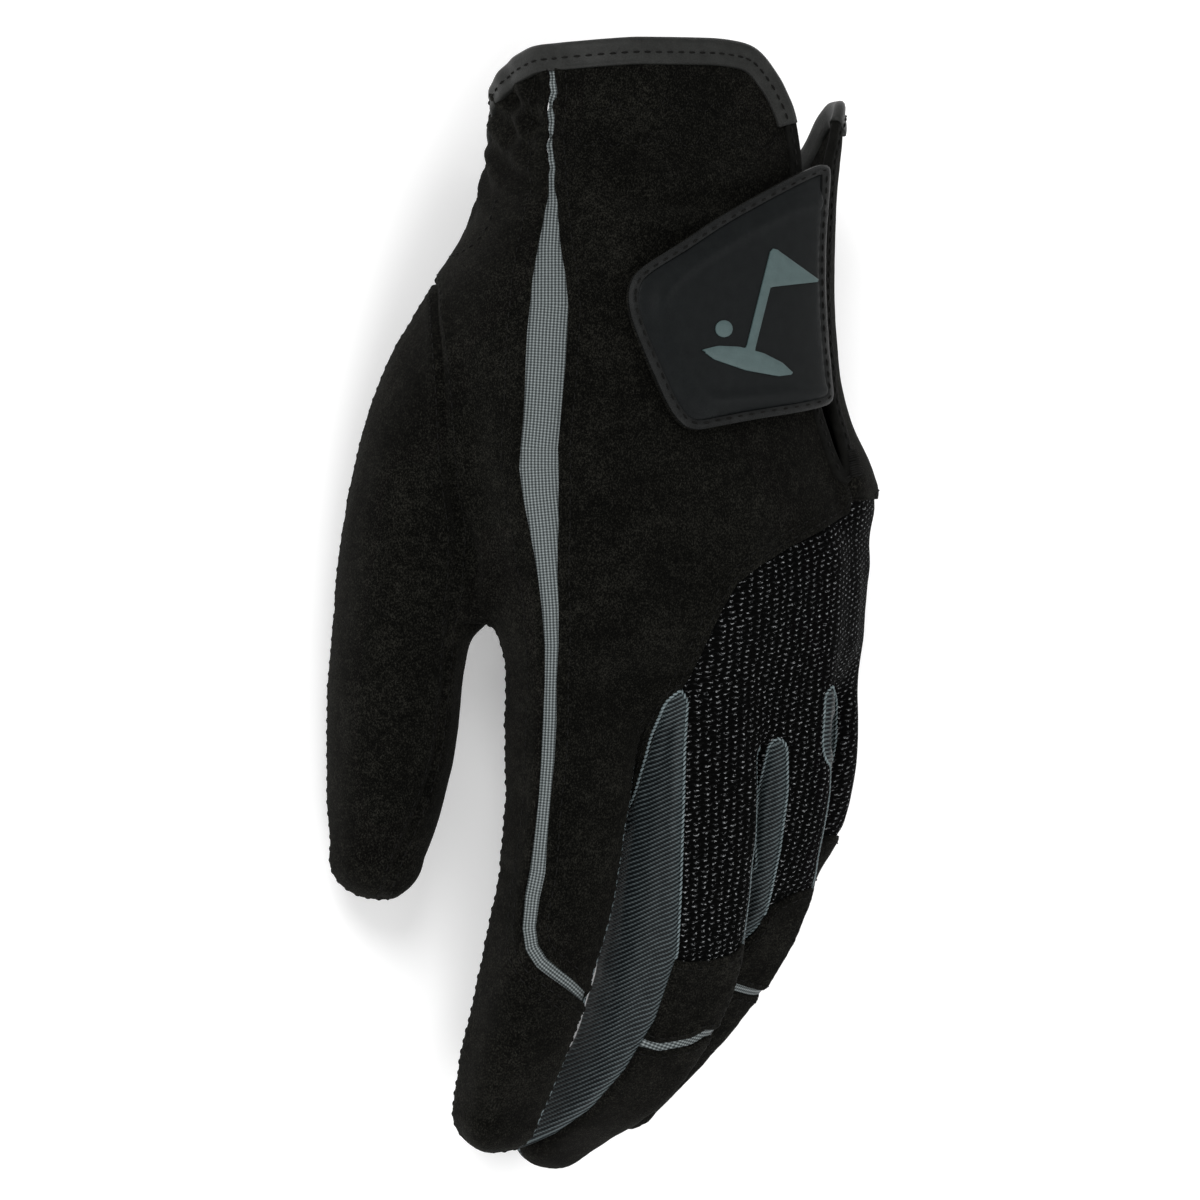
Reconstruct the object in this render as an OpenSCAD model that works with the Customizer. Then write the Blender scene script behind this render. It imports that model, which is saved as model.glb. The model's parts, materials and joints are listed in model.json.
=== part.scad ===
// Left-hand golf glove, lying palm down with the fingers curled.
// +Y runs from the fingers to the cuff, +X to the little finger side, +Z up out of the back of the hand.
// Every panel is its own closed shell, so that a hand can go in at the cuff.

/* [Fabric] */
// Thickness of the suede, knit and stretch panels
wall = 1.2; // [0.9:0.1:1.4]
// Gap left along a sewn edge
seam = 0.3; // [0.2:0.05:0.5]

/* [Motion] */
// Furthest that the four fingers fold down at the knuckles
fold_max = 45; // [20:5:50]
// Furthest that they lift at the knuckles
fold_min = 15; // [5:5:20]
// Furthest that a finger curls at its middle joint
curl_max = 50; // [20:5:60]
// Furthest that a finger straightens at its middle joint
curl_min = 30; // [10:5:35]

/* [Closure tab] */
// Thickness of the moulded plate on the tab
plate_t = 1.0; // [0.6:0.1:1.4]
// Width of the binding round the tab
bind_w = 0.07; // [0.05:0.01:0.1]

/* [Hidden] */
// Lift and shift that put the lowest point at z = 0 under the middle of the box
shift = [15.9, 1.24, -0.89];

// Hand: y, centre x, centre z, half width, half height above, half height below, tilt, arch, roundness
hand = [
    [112, -1, 27, 37, 23, 25, 0.00, 0, 2.3],
    [ 95, -1, 27, 38, 24, 25, 0.00, 0, 2.3],
    [ 80, -5, 29, 40, 24, 26, 0.02, 0, 2.4],
    [ 60, -10, 33, 43, 23, 28, 0.04, 2, 2.5],
    [ 40, -10, 37, 44, 21, 26, 0.06, 3, 2.5],
    [ 20, -6, 41, 45, 19, 22, 0.08, 5, 2.6],
    [  0, -5, 45, 43, 16, 17, 0.08, 7, 2.7],
    [-16, -3, 45, 41, 13, 14, 0.10, 8, 2.8]
];
// Fingers: y, x, z, half breadth, half depth
index_line = [[-14, -33, 41, 11.2, 11.4], [-40, -31.5, 38, 10.9, 11], [-58, -32.5, 35.5, 10.6, 10.6], [-66, -33.5, 33.5, 10.4, 10.4], [-78, -35, 30, 9.9, 9.9], [-90, -35.5, 24.5, 9.1, 8.9], [-101, -35, 18.5, 7.8, 7.4]];
middle_line = [[-14, -6, 47, 10.2, 11.4], [-40, -5, 45, 9.9, 11.2], [-60, -4.5, 42, 9.8, 11], [-71, -4, 38.5, 9.6, 10.6], [-82, -5.5, 33, 9.3, 10], [-94, -10, 25, 8.8, 8.9], [-106, -17, 10.5, 7.4, 7.2]];
ring_line = [[-14, 14.6, 45, 9.2, 10.8], [-36, 15.4, 42.5, 9, 10.6], [-48, 15.6, 39, 9, 10.3], [-58, 15.2, 34.5, 8.6, 9.8], [-70, 13.8, 27.5, 8.4, 9.3], [-85, 10, 16.5, 8.1, 8.3], [-98, 4, 8, 7.2, 7.1]];
little_line = [[-14, 31, 30, 8.4, 9.4], [-28, 31.5, 29, 8.4, 9.3], [-36, 31.5, 27.5, 8.4, 9.2], [-43, 31, 25, 8.3, 9], [-51, 29.5, 20.5, 8.1, 8.5], [-58, 27.5, 15.5, 7.7, 7.8], [-66, 24.5, 8.5, 6.8, 6.8]];
thumb_line = [[-5, -58, 18.5, 13, 13], [-12, -58.5, 18, 12.9, 12.8], [-22, -59, 17.2, 12.6, 12.4], [-32, -59.5, 16.2, 12, 11.6], [-42, -60.2, 15, 10.8, 10.3], [-50, -61, 14, 9.2, 8.8]];
finger_round = 2.9;
thumb_round = 2.4;
// Knuckle fold: y and z of its axis
fold_y = -14;
fold_z = 38;

function spow(v, e) = (v < 0 ? -1 : 1) * pow(abs(v), e);
function cr(a, b, c, d, t) = 0.5 * (2 * b + (c - a) * t + (2 * a - 5 * b + 4 * c - d) * t * t + (3 * b - a - 3 * c + d) * t * t * t);
// The row of a station table at y, by a smooth curve through its rows
function seg(tab, y, i = 0) = i >= len(tab) - 2 || y >= tab[i + 1][0] ? i : seg(tab, y, i + 1);
function at(tab, y) = let (i = seg(tab, y), n = len(tab), t = (tab[i][0] - y) / (tab[i][0] - tab[i + 1][0]))
    cr(tab[max(i - 1, 0)], tab[i], tab[i + 1], tab[min(i + 2, n - 1)], t);
function lerp(a, b, t) = a + (b - a) * t;
// Value of a list of [key, value] pairs with falling keys
function look(tab, y, i = 0) = y >= tab[0][0] ? tab[0][1] : i >= len(tab) - 1 ? tab[len(tab) - 1][1] :
    y >= tab[i + 1][0] ? lerp(tab[i][1], tab[i + 1][1], (tab[i][0] - y) / (tab[i][0] - tab[i + 1][0])) : look(tab, y, i + 1);

// Point on the hand at height y and angle p, off outside its surface
function hand_pt(y, p, off = 0) = let (r = at(hand, y), e = 2 / r[8], x = spow(cos(p), e) * (r[3] + off),
    s = spow(sin(p), e), z = s * ((s > 0 ? r[4] : r[5]) + off)) [r[1] + x, y, r[2] + z - r[6] * x - r[7] * pow(x / r[3], 2)];

// Half opening of a hinge gap at height h over its axis
function gap(h, down, up) = h < 0 ? -h * tan(down / 2 + 1) + 0.5 : h * tan(up / 2 + 1) + 0.5;
function fold_pt(p, side) = [p[0], fold_y + side * gap(p[2] - fold_z, fold_max, fold_min), p[2]];

// Cuff edge: height at each angle, lower under the palm, with a peak at the flap
cuff = [[-406, 94], [-398, 98], [-370, 98.5], [-357, 96], [-345, 90], [-325, 86], [-270, 86], [-235, 90], [-205, 98], [-180, 104.5], [-146, 109], [-120, 110.5], [-90, 110.5], [-72, 105]];
function top_y(p) = look([for (k = [len(cuff) - 1:-1:0]) cuff[k]], -p);

module shell(o, i, flip = false) {
    nr = len(o); nc = len(o[0]); n = nr * nc;
    a = [for (r = o) for (q = r) q + shift];
    b = [for (r = i) for (q = r) q + shift];
    f = concat(
        [for (r = [0:nr - 2], c = [0:nc - 2]) each [[r * nc + c, (r + 1) * nc + c, (r + 1) * nc + c + 1], [r * nc + c, (r + 1) * nc + c + 1, r * nc + c + 1]]],
        [for (r = [0:nr - 2], c = [0:nc - 2]) each [[n + r * nc + c, n + (r + 1) * nc + c + 1, n + (r + 1) * nc + c], [n + r * nc + c, n + r * nc + c + 1, n + (r + 1) * nc + c + 1]]],
        [for (c = [0:nc - 2]) each [[c, c + 1, n + c + 1], [c, n + c + 1, n + c]]],
        [for (c = [0:nc - 2], k = [(nr - 1) * nc + c]) each [[k + 1, k, n + k], [k + 1, n + k, n + k + 1]]],
        [for (r = [0:nr - 2], k = [r * nc]) each [[k + nc, k, n + k], [k + nc, n + k, n + k + nc]]],
        [for (r = [0:nr - 2], k = [r * nc + nc - 1]) each [[k, k + nc, n + k + nc], [k, n + k + nc, n + k]]]
    );
    polyhedron(concat(a, b), flip ? [for (t = f) [t[0], t[2], t[1]]] : f, 10);
}

// A panel of the hand between two edges, each a list of [y, angle], over rows of y, with its last row on the fold gap if to_fold
module hand_panel(ys, lo, hi, nc, t = wall, off = 0, to_cuff = false, to_fold = false) {
    function row(y, o, k) = [for (c = [0:nc - 1]) let (p = lerp(look(lo, y), look(hi, y), c / (nc - 1)),
        q = hand_pt(to_cuff ? min(y, top_y(p) - 3.8 - 1.5 * k) : y, p, o)) to_fold && k == len(ys) - 1 ? fold_pt(q, 1) : q];
    shell([for (k = [0:len(ys) - 1]) row(ys[k], off, k)], [for (k = [0:len(ys) - 1]) row(ys[k], off - t, k)]);
}

// Frame of a finger line at y: centre, across, up, half sizes
function tang(tab, y) = let (a = at(tab, y + 1), b = at(tab, y - 1), d = [b[1] - a[1], -2, b[2] - a[2]]) d / norm(d);
function sect(c, t, hb, hd, n, p, off) = let (ex = [1, 0, 0] - t * t[0], x = ex / norm(ex), u = cross(t, x), up = u[2] > 0 ? u : -u)
    c + x * spow(cos(p), 2 / n) * max(hb + off, 0.2) + up * spow(sin(p), 2 / n) * max(hd + off, 0.2);
function line_pt(tab, y, n, p, off) = let (r = at(tab, y)) sect([r[1], y, r[2]], tang(tab, y), r[3], r[4], n, p, off);
// Ring that closes a fingertip: k from 0 to 1 goes round the end
function tip_pt(tab, n, p, off, k) = let (y = tab[len(tab) - 1][0], r = at(tab, y), t = tang(tab, y + 1), a = k * 86, m = (r[3] + r[4]) / 2 + off)
    sect([r[1], y, r[2]] + t * m * sin(a), t, (r[3] + off) * cos(a), (r[4] + off) * cos(a), n, p, 0);
// Direction of a finger at its middle joint, and a ring on one side of its gap
function bend_dir(tab, y) = let (d = tang(tab, y)) [0, d[1], d[2]] / norm([0, d[1], d[2]]);
function bend_pt(tab, y, n, p, off, side) = let (r = at(tab, y), d = bend_dir(tab, y), u = [0, d[2], -d[1]], x = spow(cos(p), 2 / n) * (r[3] + off), h = spow(sin(p), 2 / n) * (r[4] + off))
    [r[1], y, r[2]] + [x, 0, 0] + u * h + d * side * (gap(h, curl_max, curl_min) + 0.35);

// Panel of a finger from the fold gap to its middle joint
module base_panel(tab, yb, p0, p1, nc, ys) {
    function ring(k, o) = [for (c = [0:nc - 1]) let (p = lerp(p0, p1, c / (nc - 1)))
        k == 0 ? fold_pt(line_pt(tab, fold_y, finger_round, p, o), -1) :
        k == len(ys) + 1 ? bend_pt(tab, yb, finger_round, p, o, -1) : line_pt(tab, ys[k - 1], finger_round, p, o)];
    shell([for (k = [0:len(ys) + 1]) ring(k, 0)], [for (k = [0:len(ys) + 1]) ring(k, -wall)]);
}
// Panel of a finger past its middle joint; from_bend and to_tip say whether it reaches the joint and the end
module tip_panel(tab, yb, p0, p1, nc, ys, from_bend = true, to_tip = true, n = finger_round) {
    m = to_tip ? 4 : 0; s = from_bend ? 1 : 0; last = s + len(ys) + m - 1;
    function ring(k, o) = [for (c = [0:nc - 1]) let (p = lerp(p0, p1, c / (nc - 1)))
        from_bend && k == 0 ? bend_pt(tab, yb, n, p, o, 1) : k - s < len(ys) ? line_pt(tab, ys[k - s], n, p, o) :
        tip_pt(tab, n, p, o, (k - s - len(ys) + 1) / m)];
    shell([for (k = [0:last]) ring(k, 0)], [for (k = [0:last]) ring(k, -wall)]);
}

// Edges on the hand: [y, angle]
slit_edge = [[110, 74], [87, 65], [60, 58], [38, 55], [24, 52], [22, 50], [8, 84], [-8, 99], [-20, 103]];
strip_lo = [[110, 146], [80, 145], [60, 142], [24, 144], [0, 146], [-20, 147]];
strip_hi = [[110, 150], [80, 150], [60, 151], [24, 153.5], [0, 152], [-20, 152]];
function shiftp(tab, d) = [for (r = tab) [r[0], r[1] + d]];
// Elliptical opening for the thumb, in y and angle
thumb_y = 28; thumb_ry = 30; thumb_p = 216; thumb_rp = 20;
function hole(y) = let (k = (y - thumb_y) / thumb_ry) abs(k) >= 1 ? 0 : thumb_rp * sqrt(1 - k * k);
hand_ys = [100, 92, 84, 76, 68, 61, 54, 46, 38, 30, 22.5, 15, 8, 1, -6];
function edge_ys() = hand_ys;

module back_panel() { color("#1c1d1b") hand_panel([105, 96, 86, 76, 66, 56, 46, 36, 28, 22, 18, 14, 10, 6, 2, -4, -10], shiftp(slit_edge, 0), shiftp(strip_lo, -seam), 9, to_cuff = true, to_fold = true); }
module stretch_strip() { color("#5d6b6e") hand_panel([105, 92, 78, 64, 50, 36, 22, 8, -4, -10], strip_lo, strip_hi, 3, wall - 0.3, -0.2, true, true); }
module index_side_panel() { color("#1c1d1b") hand_panel([105, 96, 88, 80, 72, 64, 58, 54, 48, 40, 32, 24, 16, 8, 2, -2, -6, -10], shiftp(strip_hi, seam + 0.3), [for (y = [110:-1:-20]) [y, thumb_p - hole(y) - 1]], 8, to_cuff = true, to_fold = true); }
module palm_panel() { color("#191a18") hand_panel([105, 96, 88, 80, 72, 64, 58, 54, 48, 40, 32, 24, 16, 8, 2, -2, -6, -10], [for (y = [110:-1:-20]) [y, thumb_p + hole(y) + 1]], [[110, 340], [-20, 340]], 10, to_cuff = true, to_fold = true); }
module wrist_wrap() { color("#1c1d1b") hand_panel([105, 96, 86, 76, 66, 56, 46, 36, 28, 22.6], [[110, 340.5], [20, 340.5]], [[110, 398], [98, 402], [90, 407], [38, 407], [24, 402], [20, 398]], 9, to_cuff = true); }
module knuckle_knit() { color("#141516") hand_panel([22, 19, 15, 12, 8, 5, 1, -4, -10], [[24, -19.7], [-20, -19.7]], shiftp([[22, 47], [8, 82], [-8, 97.5], [-20, 101.5]], 0), 9, to_fold = true); }

// Cuff binding: a folded strip that rides on the cuff edge, open at the slit
function cuff_ring(p, o) = [for (k = [0, 1.2, 2.4, 3.4]) hand_pt(top_y(p) - 2.9 + k, p, k > 3 ? o * 0.5 - 0.3 : o)];
module cuff_binding() { color("#232422") shell([for (p = [75:6:399]) cuff_ring(p, 0.7)], [for (p = [75:6:399]) cuff_ring(p, -1.9)], flip = true); }
// Elastic bands sewn inside the cuff, under the back and under the palm
module cuff_elastic() { color("#2b2b2b") {
    hand_panel([99, 95, 91, 87, 83], [[110, 82], [80, 82]], [[110, 142], [80, 142]], 7, 0.9, -1.5);
    hand_panel([80, 76, 72, 68], [[110, 225], [60, 225]], [[110, 318], [60, 318]], 9, 0.9, -1.5);
} }
function slit_ring(y, o) = [for (d = [-3.6, -2.2, -1.0]) hand_pt(y, look(slit_edge, y) + d, o)];
module slit_binding() { color("#232422") shell([for (y = [101, 92, 84, 76, 66, 56, 46, 36, 28]) slit_ring(y, 0.5)], [for (y = [101, 92, 84, 76, 66, 56, 46, 36, 28]) slit_ring(y, -1.7)]); }
module slit_bartack() { color("#101010") hand_panel([26, 24.7, 23.4], [[30, 45], [20, 43.6]], [[30, 52.5], [20, 51]], 4, 0.7, 0.9); }

// Closure tab: four corners as [y, angle], lofted over the back of the hand
tab_a = [64, 109]; tab_b = [34, 97]; tab_c = [38, 50.5]; tab_d = [85, 50.5];
function tab_yp(u, v) = lerp(lerp(tab_d, tab_c, v), lerp(tab_a, tab_b, v), u);
function tab_pt(u, v, o) = let (q = tab_yp(u, v)) hand_pt(q[0], q[1], o);
function tab_grid(u0, u1, nu, v0, v1, nv, o) = [for (j = [0:nv]) [for (i = [0:nu]) tab_pt(lerp(u0, u1, i / nu), lerp(v0, v1, j / nv), o)]];
module tab_patch(u0, u1, nu, v0, v1, nv, o, t) { shell(tab_grid(u0, u1, nu, v0, v1, nv, o), tab_grid(u0, u1, nu, v0, v1, nv, o - t)); }
module tab_strap() { color("#1e1f1e") tab_patch(0, 1, 10, 0, 1, 8, 2.6, 0.9); }
module tab_plate() { color("#22282a") tab_patch(0.03, 1 - bind_w - 0.02, 9, bind_w + 0.02, 1 - bind_w - 0.02, 7, 2.7 + plate_t, plate_t); }
module tab_emblem() { color("#46565a") tab_patch(0.22, 0.6, 5, 0.42, 0.72, 3, 2.7 + plate_t + 0.45, 0.4); }
module tab_binding() { color("#232422") {
    tab_patch(0.02, 1, 10, 0, bind_w, 1, 3.5, 0.8);
    tab_patch(0.02, 1, 10, 1 - bind_w, 1, 1, 3.5, 0.8);
    tab_patch(1 - bind_w, 1, 1, bind_w + 0.005, 1 - bind_w - 0.005, 7, 3.5, 0.8);
} }
module tab_hook_patch() { color("#111111") tab_patch(0.45, 0.92, 5, 0.12, 0.88, 6, 1.6, 0.5); }
module loop_patch() { color("#161616") tab_patch(0.35, 0.98, 6, 0.05, 0.95, 7, 0.8, 0.7); }

// Thumb: the skin runs from the opening in the hand to a ring past the crotch
function open_pt(s, o) = hand_pt(thumb_y - (thumb_ry - 1) * cos(s) , thumb_p - (thumb_rp - 1.6) * sin(s), o);
function thumb_skin(s, t, o) = let (a = open_pt(s, 0.2), c = open_pt(0, 0), m0 = [hand_pt(thumb_y, thumb_p)[0], thumb_y, hand_pt(thumb_y, thumb_p)[2]],
    e = line_pt(thumb_line, -5, thumb_round, s, o), m = [e[0] - 3 + 3 * cos(s), lerp(a[1], -5, 0.5), e[2] + 3], st = a + (m0 - a) / norm(m0 - a) * -o)
    st * (1 - t) * (1 - t) + m * 2 * t * (1 - t) + e * t * t;
module thumb_base(s0, s1, nc) {
    ts = [0.03, 0.25, 0.5, 0.75, 1];
    function ring(k, o) = [for (c = [0:nc - 1]) let (s = lerp(s0, s1, c / (nc - 1)))
        k < len(ts) ? thumb_skin(s, ts[k], o) : k == len(ts) ? line_pt(thumb_line, -12, thumb_round, s, o) : bend_pt(thumb_line, -22, thumb_round, s, o, -1)];
    shell([for (k = [0:len(ts) + 1]) ring(k, 0)], [for (k = [0:len(ts) + 1]) ring(k, -wall)]);
}
module thumb_back() { color("#1c1d1b") thumb_base(1, 179, 9); }
module thumb_front() { color("#191a18") thumb_base(181, 359, 9); }
module thumb_tip_back() { color("#1c1d1b") tip_panel(thumb_line, -22, 1, 179, 9, [-34, -42, -50], n = thumb_round); }
module thumb_tip_front() { color("#191a18") tip_panel(thumb_line, -22, 181, 359, 9, [-34, -42, -50], n = thumb_round); }

// Fingers, from the knuckles to the middle joints
iy = -66; my = -71; ry = -58; ly = -43;
is = [-30, -40, -50, -58]; ms = [-30, -42, -52, -62]; rs = [-30, -38, -48]; ls = [-26, -31, -36];
module index_back() { color("#1c1d1b") base_panel(index_line, iy, 46, 139, 6, is); }
module index_strip() { color("#5d6b6e") base_panel(index_line, iy, 140, 149, 3, is); }
module index_side() { color("#1c1d1b") base_panel(index_line, iy, 150, 224, 5, is); }
module index_front() { color("#191a18") base_panel(index_line, iy, 225, 314, 5, is); }
module middle_knit() { color("#141516") base_panel(middle_line, my, 46, 134, 6, ms); }
module middle_front() { color("#191a18") base_panel(middle_line, my, 226, 314, 5, ms); }
module ring_knit() { color("#141516") base_panel(ring_line, ry, 46, 134, 6, rs); }
module ring_front() { color("#191a18") base_panel(ring_line, ry, 226, 314, 5, rs); }
module little_knit() { color("#141516") base_panel(little_line, ly, 21, 134, 7, ls); }
module little_front() { color("#191a18") base_panel(little_line, ly, 226, 380, 8, ls); }
module fourchette_index_middle() { color("#3d4b50") { base_panel(index_line, iy, -45, 45, 5, is); base_panel(middle_line, my, 135, 225, 5, ms); } }
module fourchette_middle_ring() { color("#3d4b50") { base_panel(middle_line, my, -45, 45, 5, ms); base_panel(ring_line, ry, 135, 225, 5, rs); } }
module fourchette_ring_little() { color("#3d4b50") { base_panel(ring_line, ry, -45, 45, 5, rs); base_panel(little_line, ly, 135, 225, 5, ls); } }

// Fingers, past the middle joints
module index_tip_back() { color("#1c1d1b") tip_panel(index_line, iy, 46, 224, 9, [-80, -91, -101], from_bend = false); }
module index_tip_strip() { color("#5d6b6e") tip_panel(index_line, iy, 46, 224, 9, [-79.5], to_tip = false); }
module index_tip_front() { color("#191a18") tip_panel(index_line, iy, 225, 314, 5, [-80, -91, -101]); }
module index_tip_fourchette() { color("#3d4b50") tip_panel(index_line, iy, -45, 45, 5, [-80, -91, -101]); }
module middle_tip_back() { color("#1c1d1b") tip_panel(middle_line, my, 46, 134, 6, [-84], to_tip = false); }
module middle_tip_strip() { color("#5d6b6e") tip_panel(middle_line, my, 46, 134, 6, [-84.4, -87.6], false, false); }
module middle_tip_cap() { color("#1c1d1b") tip_panel(middle_line, my, 46, 134, 6, [-88, -97, -106], false); }
module middle_tip_front() { color("#191a18") tip_panel(middle_line, my, 226, 314, 5, [-84, -88, -97, -106]); }
module middle_tip_fourchettes() { color("#3d4b50") { tip_panel(middle_line, my, 135, 225, 5, [-84, -88, -97, -106]); tip_panel(middle_line, my, -45, 45, 5, [-84, -88, -97, -106]); } }
module ring_tip_back() { color("#1c1d1b") tip_panel(ring_line, ry, 46, 134, 6, [-71], to_tip = false); }
module ring_tip_strip() { color("#5d6b6e") tip_panel(ring_line, ry, 46, 134, 6, [-71.4, -74.6], false, false); }
module ring_tip_cap() { color("#1c1d1b") tip_panel(ring_line, ry, 46, 134, 6, [-75, -86, -98], false); }
module ring_tip_front() { color("#191a18") tip_panel(ring_line, ry, 226, 314, 5, [-71, -75, -86, -98]); }
module ring_tip_fourchettes() { color("#3d4b50") { tip_panel(ring_line, ry, 135, 225, 5, [-71, -75, -86, -98]); tip_panel(ring_line, ry, -45, 45, 5, [-71, -75, -86, -98]); } }
module little_tip_back() { color("#1c1d1b") tip_panel(little_line, ly, 21, 134, 7, [-52], to_tip = false); }
module little_tip_strip() { color("#5d6b6e") tip_panel(little_line, ly, 21, 134, 7, [-52.3, -54.7], false, false); }
module little_tip_cap() { color("#1c1d1b") tip_panel(little_line, ly, 21, 134, 7, [-55, -60, -66], false); }
module little_tip_front() { color("#191a18") tip_panel(little_line, ly, 226, 380, 8, [-52, -55, -60, -66]); }
module little_tip_fourchette() { color("#3d4b50") tip_panel(little_line, ly, 135, 225, 5, [-52, -55, -60, -66]); }

back_panel();
stretch_strip();
index_side_panel();
palm_panel();
wrist_wrap();
knuckle_knit();
cuff_binding();
cuff_elastic();
loop_patch();
slit_binding();
slit_bartack();
thumb_back();
thumb_front();
tab_strap();
tab_plate();
tab_emblem();
tab_binding();
tab_hook_patch();
index_back();
index_strip();
index_side();
index_front();
middle_knit();
middle_front();
ring_knit();
ring_front();
little_knit();
little_front();
fourchette_index_middle();
fourchette_middle_ring();
fourchette_ring_little();
index_tip_back();
index_tip_strip();
index_tip_front();
index_tip_fourchette();
middle_tip_back();
middle_tip_strip();
middle_tip_cap();
middle_tip_front();
middle_tip_fourchettes();
ring_tip_back();
ring_tip_strip();
ring_tip_cap();
ring_tip_front();
ring_tip_fourchettes();
little_tip_back();
little_tip_strip();
little_tip_cap();
little_tip_front();
little_tip_fourchette();
thumb_tip_back();
thumb_tip_front();
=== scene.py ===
"""Left-hand golf glove: sewn suede, knit, stretch strips, side gussets and a wrist closure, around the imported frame.

Working units are millimetres in the glove's own frame: x to the little finger, y to the cuff, z out of the back of the hand.
The pattern plane (U, V) is square to the main view: U runs along RT, V along y.
"""
import bpy, math, json
import numpy as np
from mathutils import Matrix, Vector


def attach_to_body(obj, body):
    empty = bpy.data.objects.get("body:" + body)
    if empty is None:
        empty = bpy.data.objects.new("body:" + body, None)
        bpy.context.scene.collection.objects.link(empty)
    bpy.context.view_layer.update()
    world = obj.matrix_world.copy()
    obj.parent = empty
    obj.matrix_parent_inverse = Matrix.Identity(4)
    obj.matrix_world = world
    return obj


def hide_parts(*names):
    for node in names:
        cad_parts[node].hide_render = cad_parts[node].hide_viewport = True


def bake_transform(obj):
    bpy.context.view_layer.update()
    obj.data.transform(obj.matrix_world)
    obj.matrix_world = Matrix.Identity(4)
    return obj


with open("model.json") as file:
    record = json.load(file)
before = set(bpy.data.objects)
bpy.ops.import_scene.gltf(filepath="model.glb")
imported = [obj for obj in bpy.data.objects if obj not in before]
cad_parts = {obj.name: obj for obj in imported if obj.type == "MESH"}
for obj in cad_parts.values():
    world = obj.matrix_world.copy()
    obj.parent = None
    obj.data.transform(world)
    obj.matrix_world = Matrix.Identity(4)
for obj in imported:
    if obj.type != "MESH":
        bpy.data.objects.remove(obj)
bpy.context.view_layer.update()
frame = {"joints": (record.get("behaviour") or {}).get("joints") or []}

J = {j["name"]: np.array(j["pos_m"], float) * 1000.0 for j in frame["joints"]}
SH = J["knuckle_fold"] - np.array([-2.0, -14.0, 38.0])
TH = math.radians(32.0)
CT, ST = math.cos(TH), math.sin(TH)
RT = np.array([CT, 0.0, ST])
UP = np.array([0.0, 1.0, 0.0])
DV = np.array([-ST, 0.0, CT])

# ---------------------------------------------------------------- numeric helpers

def smooth(x, a, b):
    t = np.clip((x - a) / (b - a), 0.0, 1.0)
    return t * t * (3.0 - 2.0 * t)


def smin(a, b, k):
    h = np.maximum(k - np.abs(a - b), 0.0) / k
    return np.minimum(a, b) - h * h * k * 0.25


def dense(rows, sub=10):
    """Catmull-Rom through the rows of a table."""
    R = np.array(rows, float)
    out = []
    n = len(R)
    for i in range(n - 1):
        p0, p1, p2, p3 = R[max(i - 1, 0)], R[i], R[i + 1], R[min(i + 2, n - 1)]
        for t in np.arange(sub) / sub:
            out.append(0.5 * (2 * p1 + (p2 - p0) * t + (2 * p0 - 5 * p1 + 4 * p2 - p3) * t * t + (3 * p1 - p0 - 3 * p2 + p3) * t ** 3))
    out.append(R[-1])
    return np.array(out)


def unit(v):
    return v / np.maximum(np.linalg.norm(v, axis=-1, keepdims=True), 1e-12)


def polydist(p, line, closed=False, hw=None):
    """Distance from 2D points to a polyline, the side of it (positive on its left), and the place along it."""
    line = np.asarray(line, float)
    if closed:
        line = np.vstack([line, line[:1]])
    best = np.full(len(p), 1e9)
    side = np.ones(len(p))
    par = np.zeros(len(p))
    acc = 0.0
    for i in range(len(line) - 1):
        a, b = line[i, :2], line[i + 1, :2]
        ab = b - a
        L2 = max(ab @ ab, 1e-12)
        t = np.clip(((p - a) @ ab) / L2, 0, 1)
        q = a + t[:, None] * ab
        d = np.hypot(p[:, 0] - q[:, 0], p[:, 1] - q[:, 1])
        cr = ab[0] * (p[:, 1] - a[1]) - ab[1] * (p[:, 0] - a[0])
        m = d < best - 1e-9
        best = np.where(m, d, best)
        side = np.where(m, np.where(cr >= 0, 1.0, -1.0), side)
        par = np.where(m, i + t, par)
    return best, side, par


def noise3(P, scale, seed):
    """Smooth value noise on a lattice, about -1 to 1."""
    Q = P / scale + 100.0 + seed * 7.31
    I = np.floor(Q).astype(np.int64)
    f = Q - I
    f = f * f * (3 - 2 * f)

    def h(i, j, k):
        n = (i * 374761393 + j * 668265263 + k * 2147483647 + seed * 1274126177) & 0xFFFFFFFF
        n = ((n ^ (n >> 13)) * 1274126177) & 0xFFFFFFFF
        return ((n ^ (n >> 16)) & 0xFFFF) / 32767.5 - 1.0
    r = 0.0
    for a in (0, 1):
        for b in (0, 1):
            for c in (0, 1):
                w = (f[:, 0] if a else 1 - f[:, 0]) * (f[:, 1] if b else 1 - f[:, 1]) * (f[:, 2] if c else 1 - f[:, 2])
                r = r + w * h(I[:, 0] + a, I[:, 1] + b, I[:, 2] + c)
    return r


# ---------------------------------------------------------------- shape tables

# y, centre x, centre z, half width, half height over and under, tilt, arch, roundness
HAND = [
    (124, -1, 26, 36.5, 23, 25, 0.00, 0, 2.3), (110, -1, 27, 37, 23, 25, 0.00, 0, 2.3), (95, -0.8, 27, 37.4, 24, 25, 0.00, 0, 2.3), (80, -4.4, 29.2, 38.4, 24, 26, 0.02, 0, 2.4),
    (60, -10, 33, 43, 23, 28, 0.04, 2, 2.5), (40, -9.5, 37, 44, 21, 26, 0.06, 3, 2.5), (20, -6, 41, 45, 19, 22, 0.08, 5, 2.6),
    (0, -5.5, 45, 42, 16, 17, 0.08, 7, 2.7), (-16, -3, 45, 41, 13, 14, 0.10, 8, 2.8), (-30, -3, 44, 40, 12, 13, 0.10, 8, 2.8)]
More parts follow.
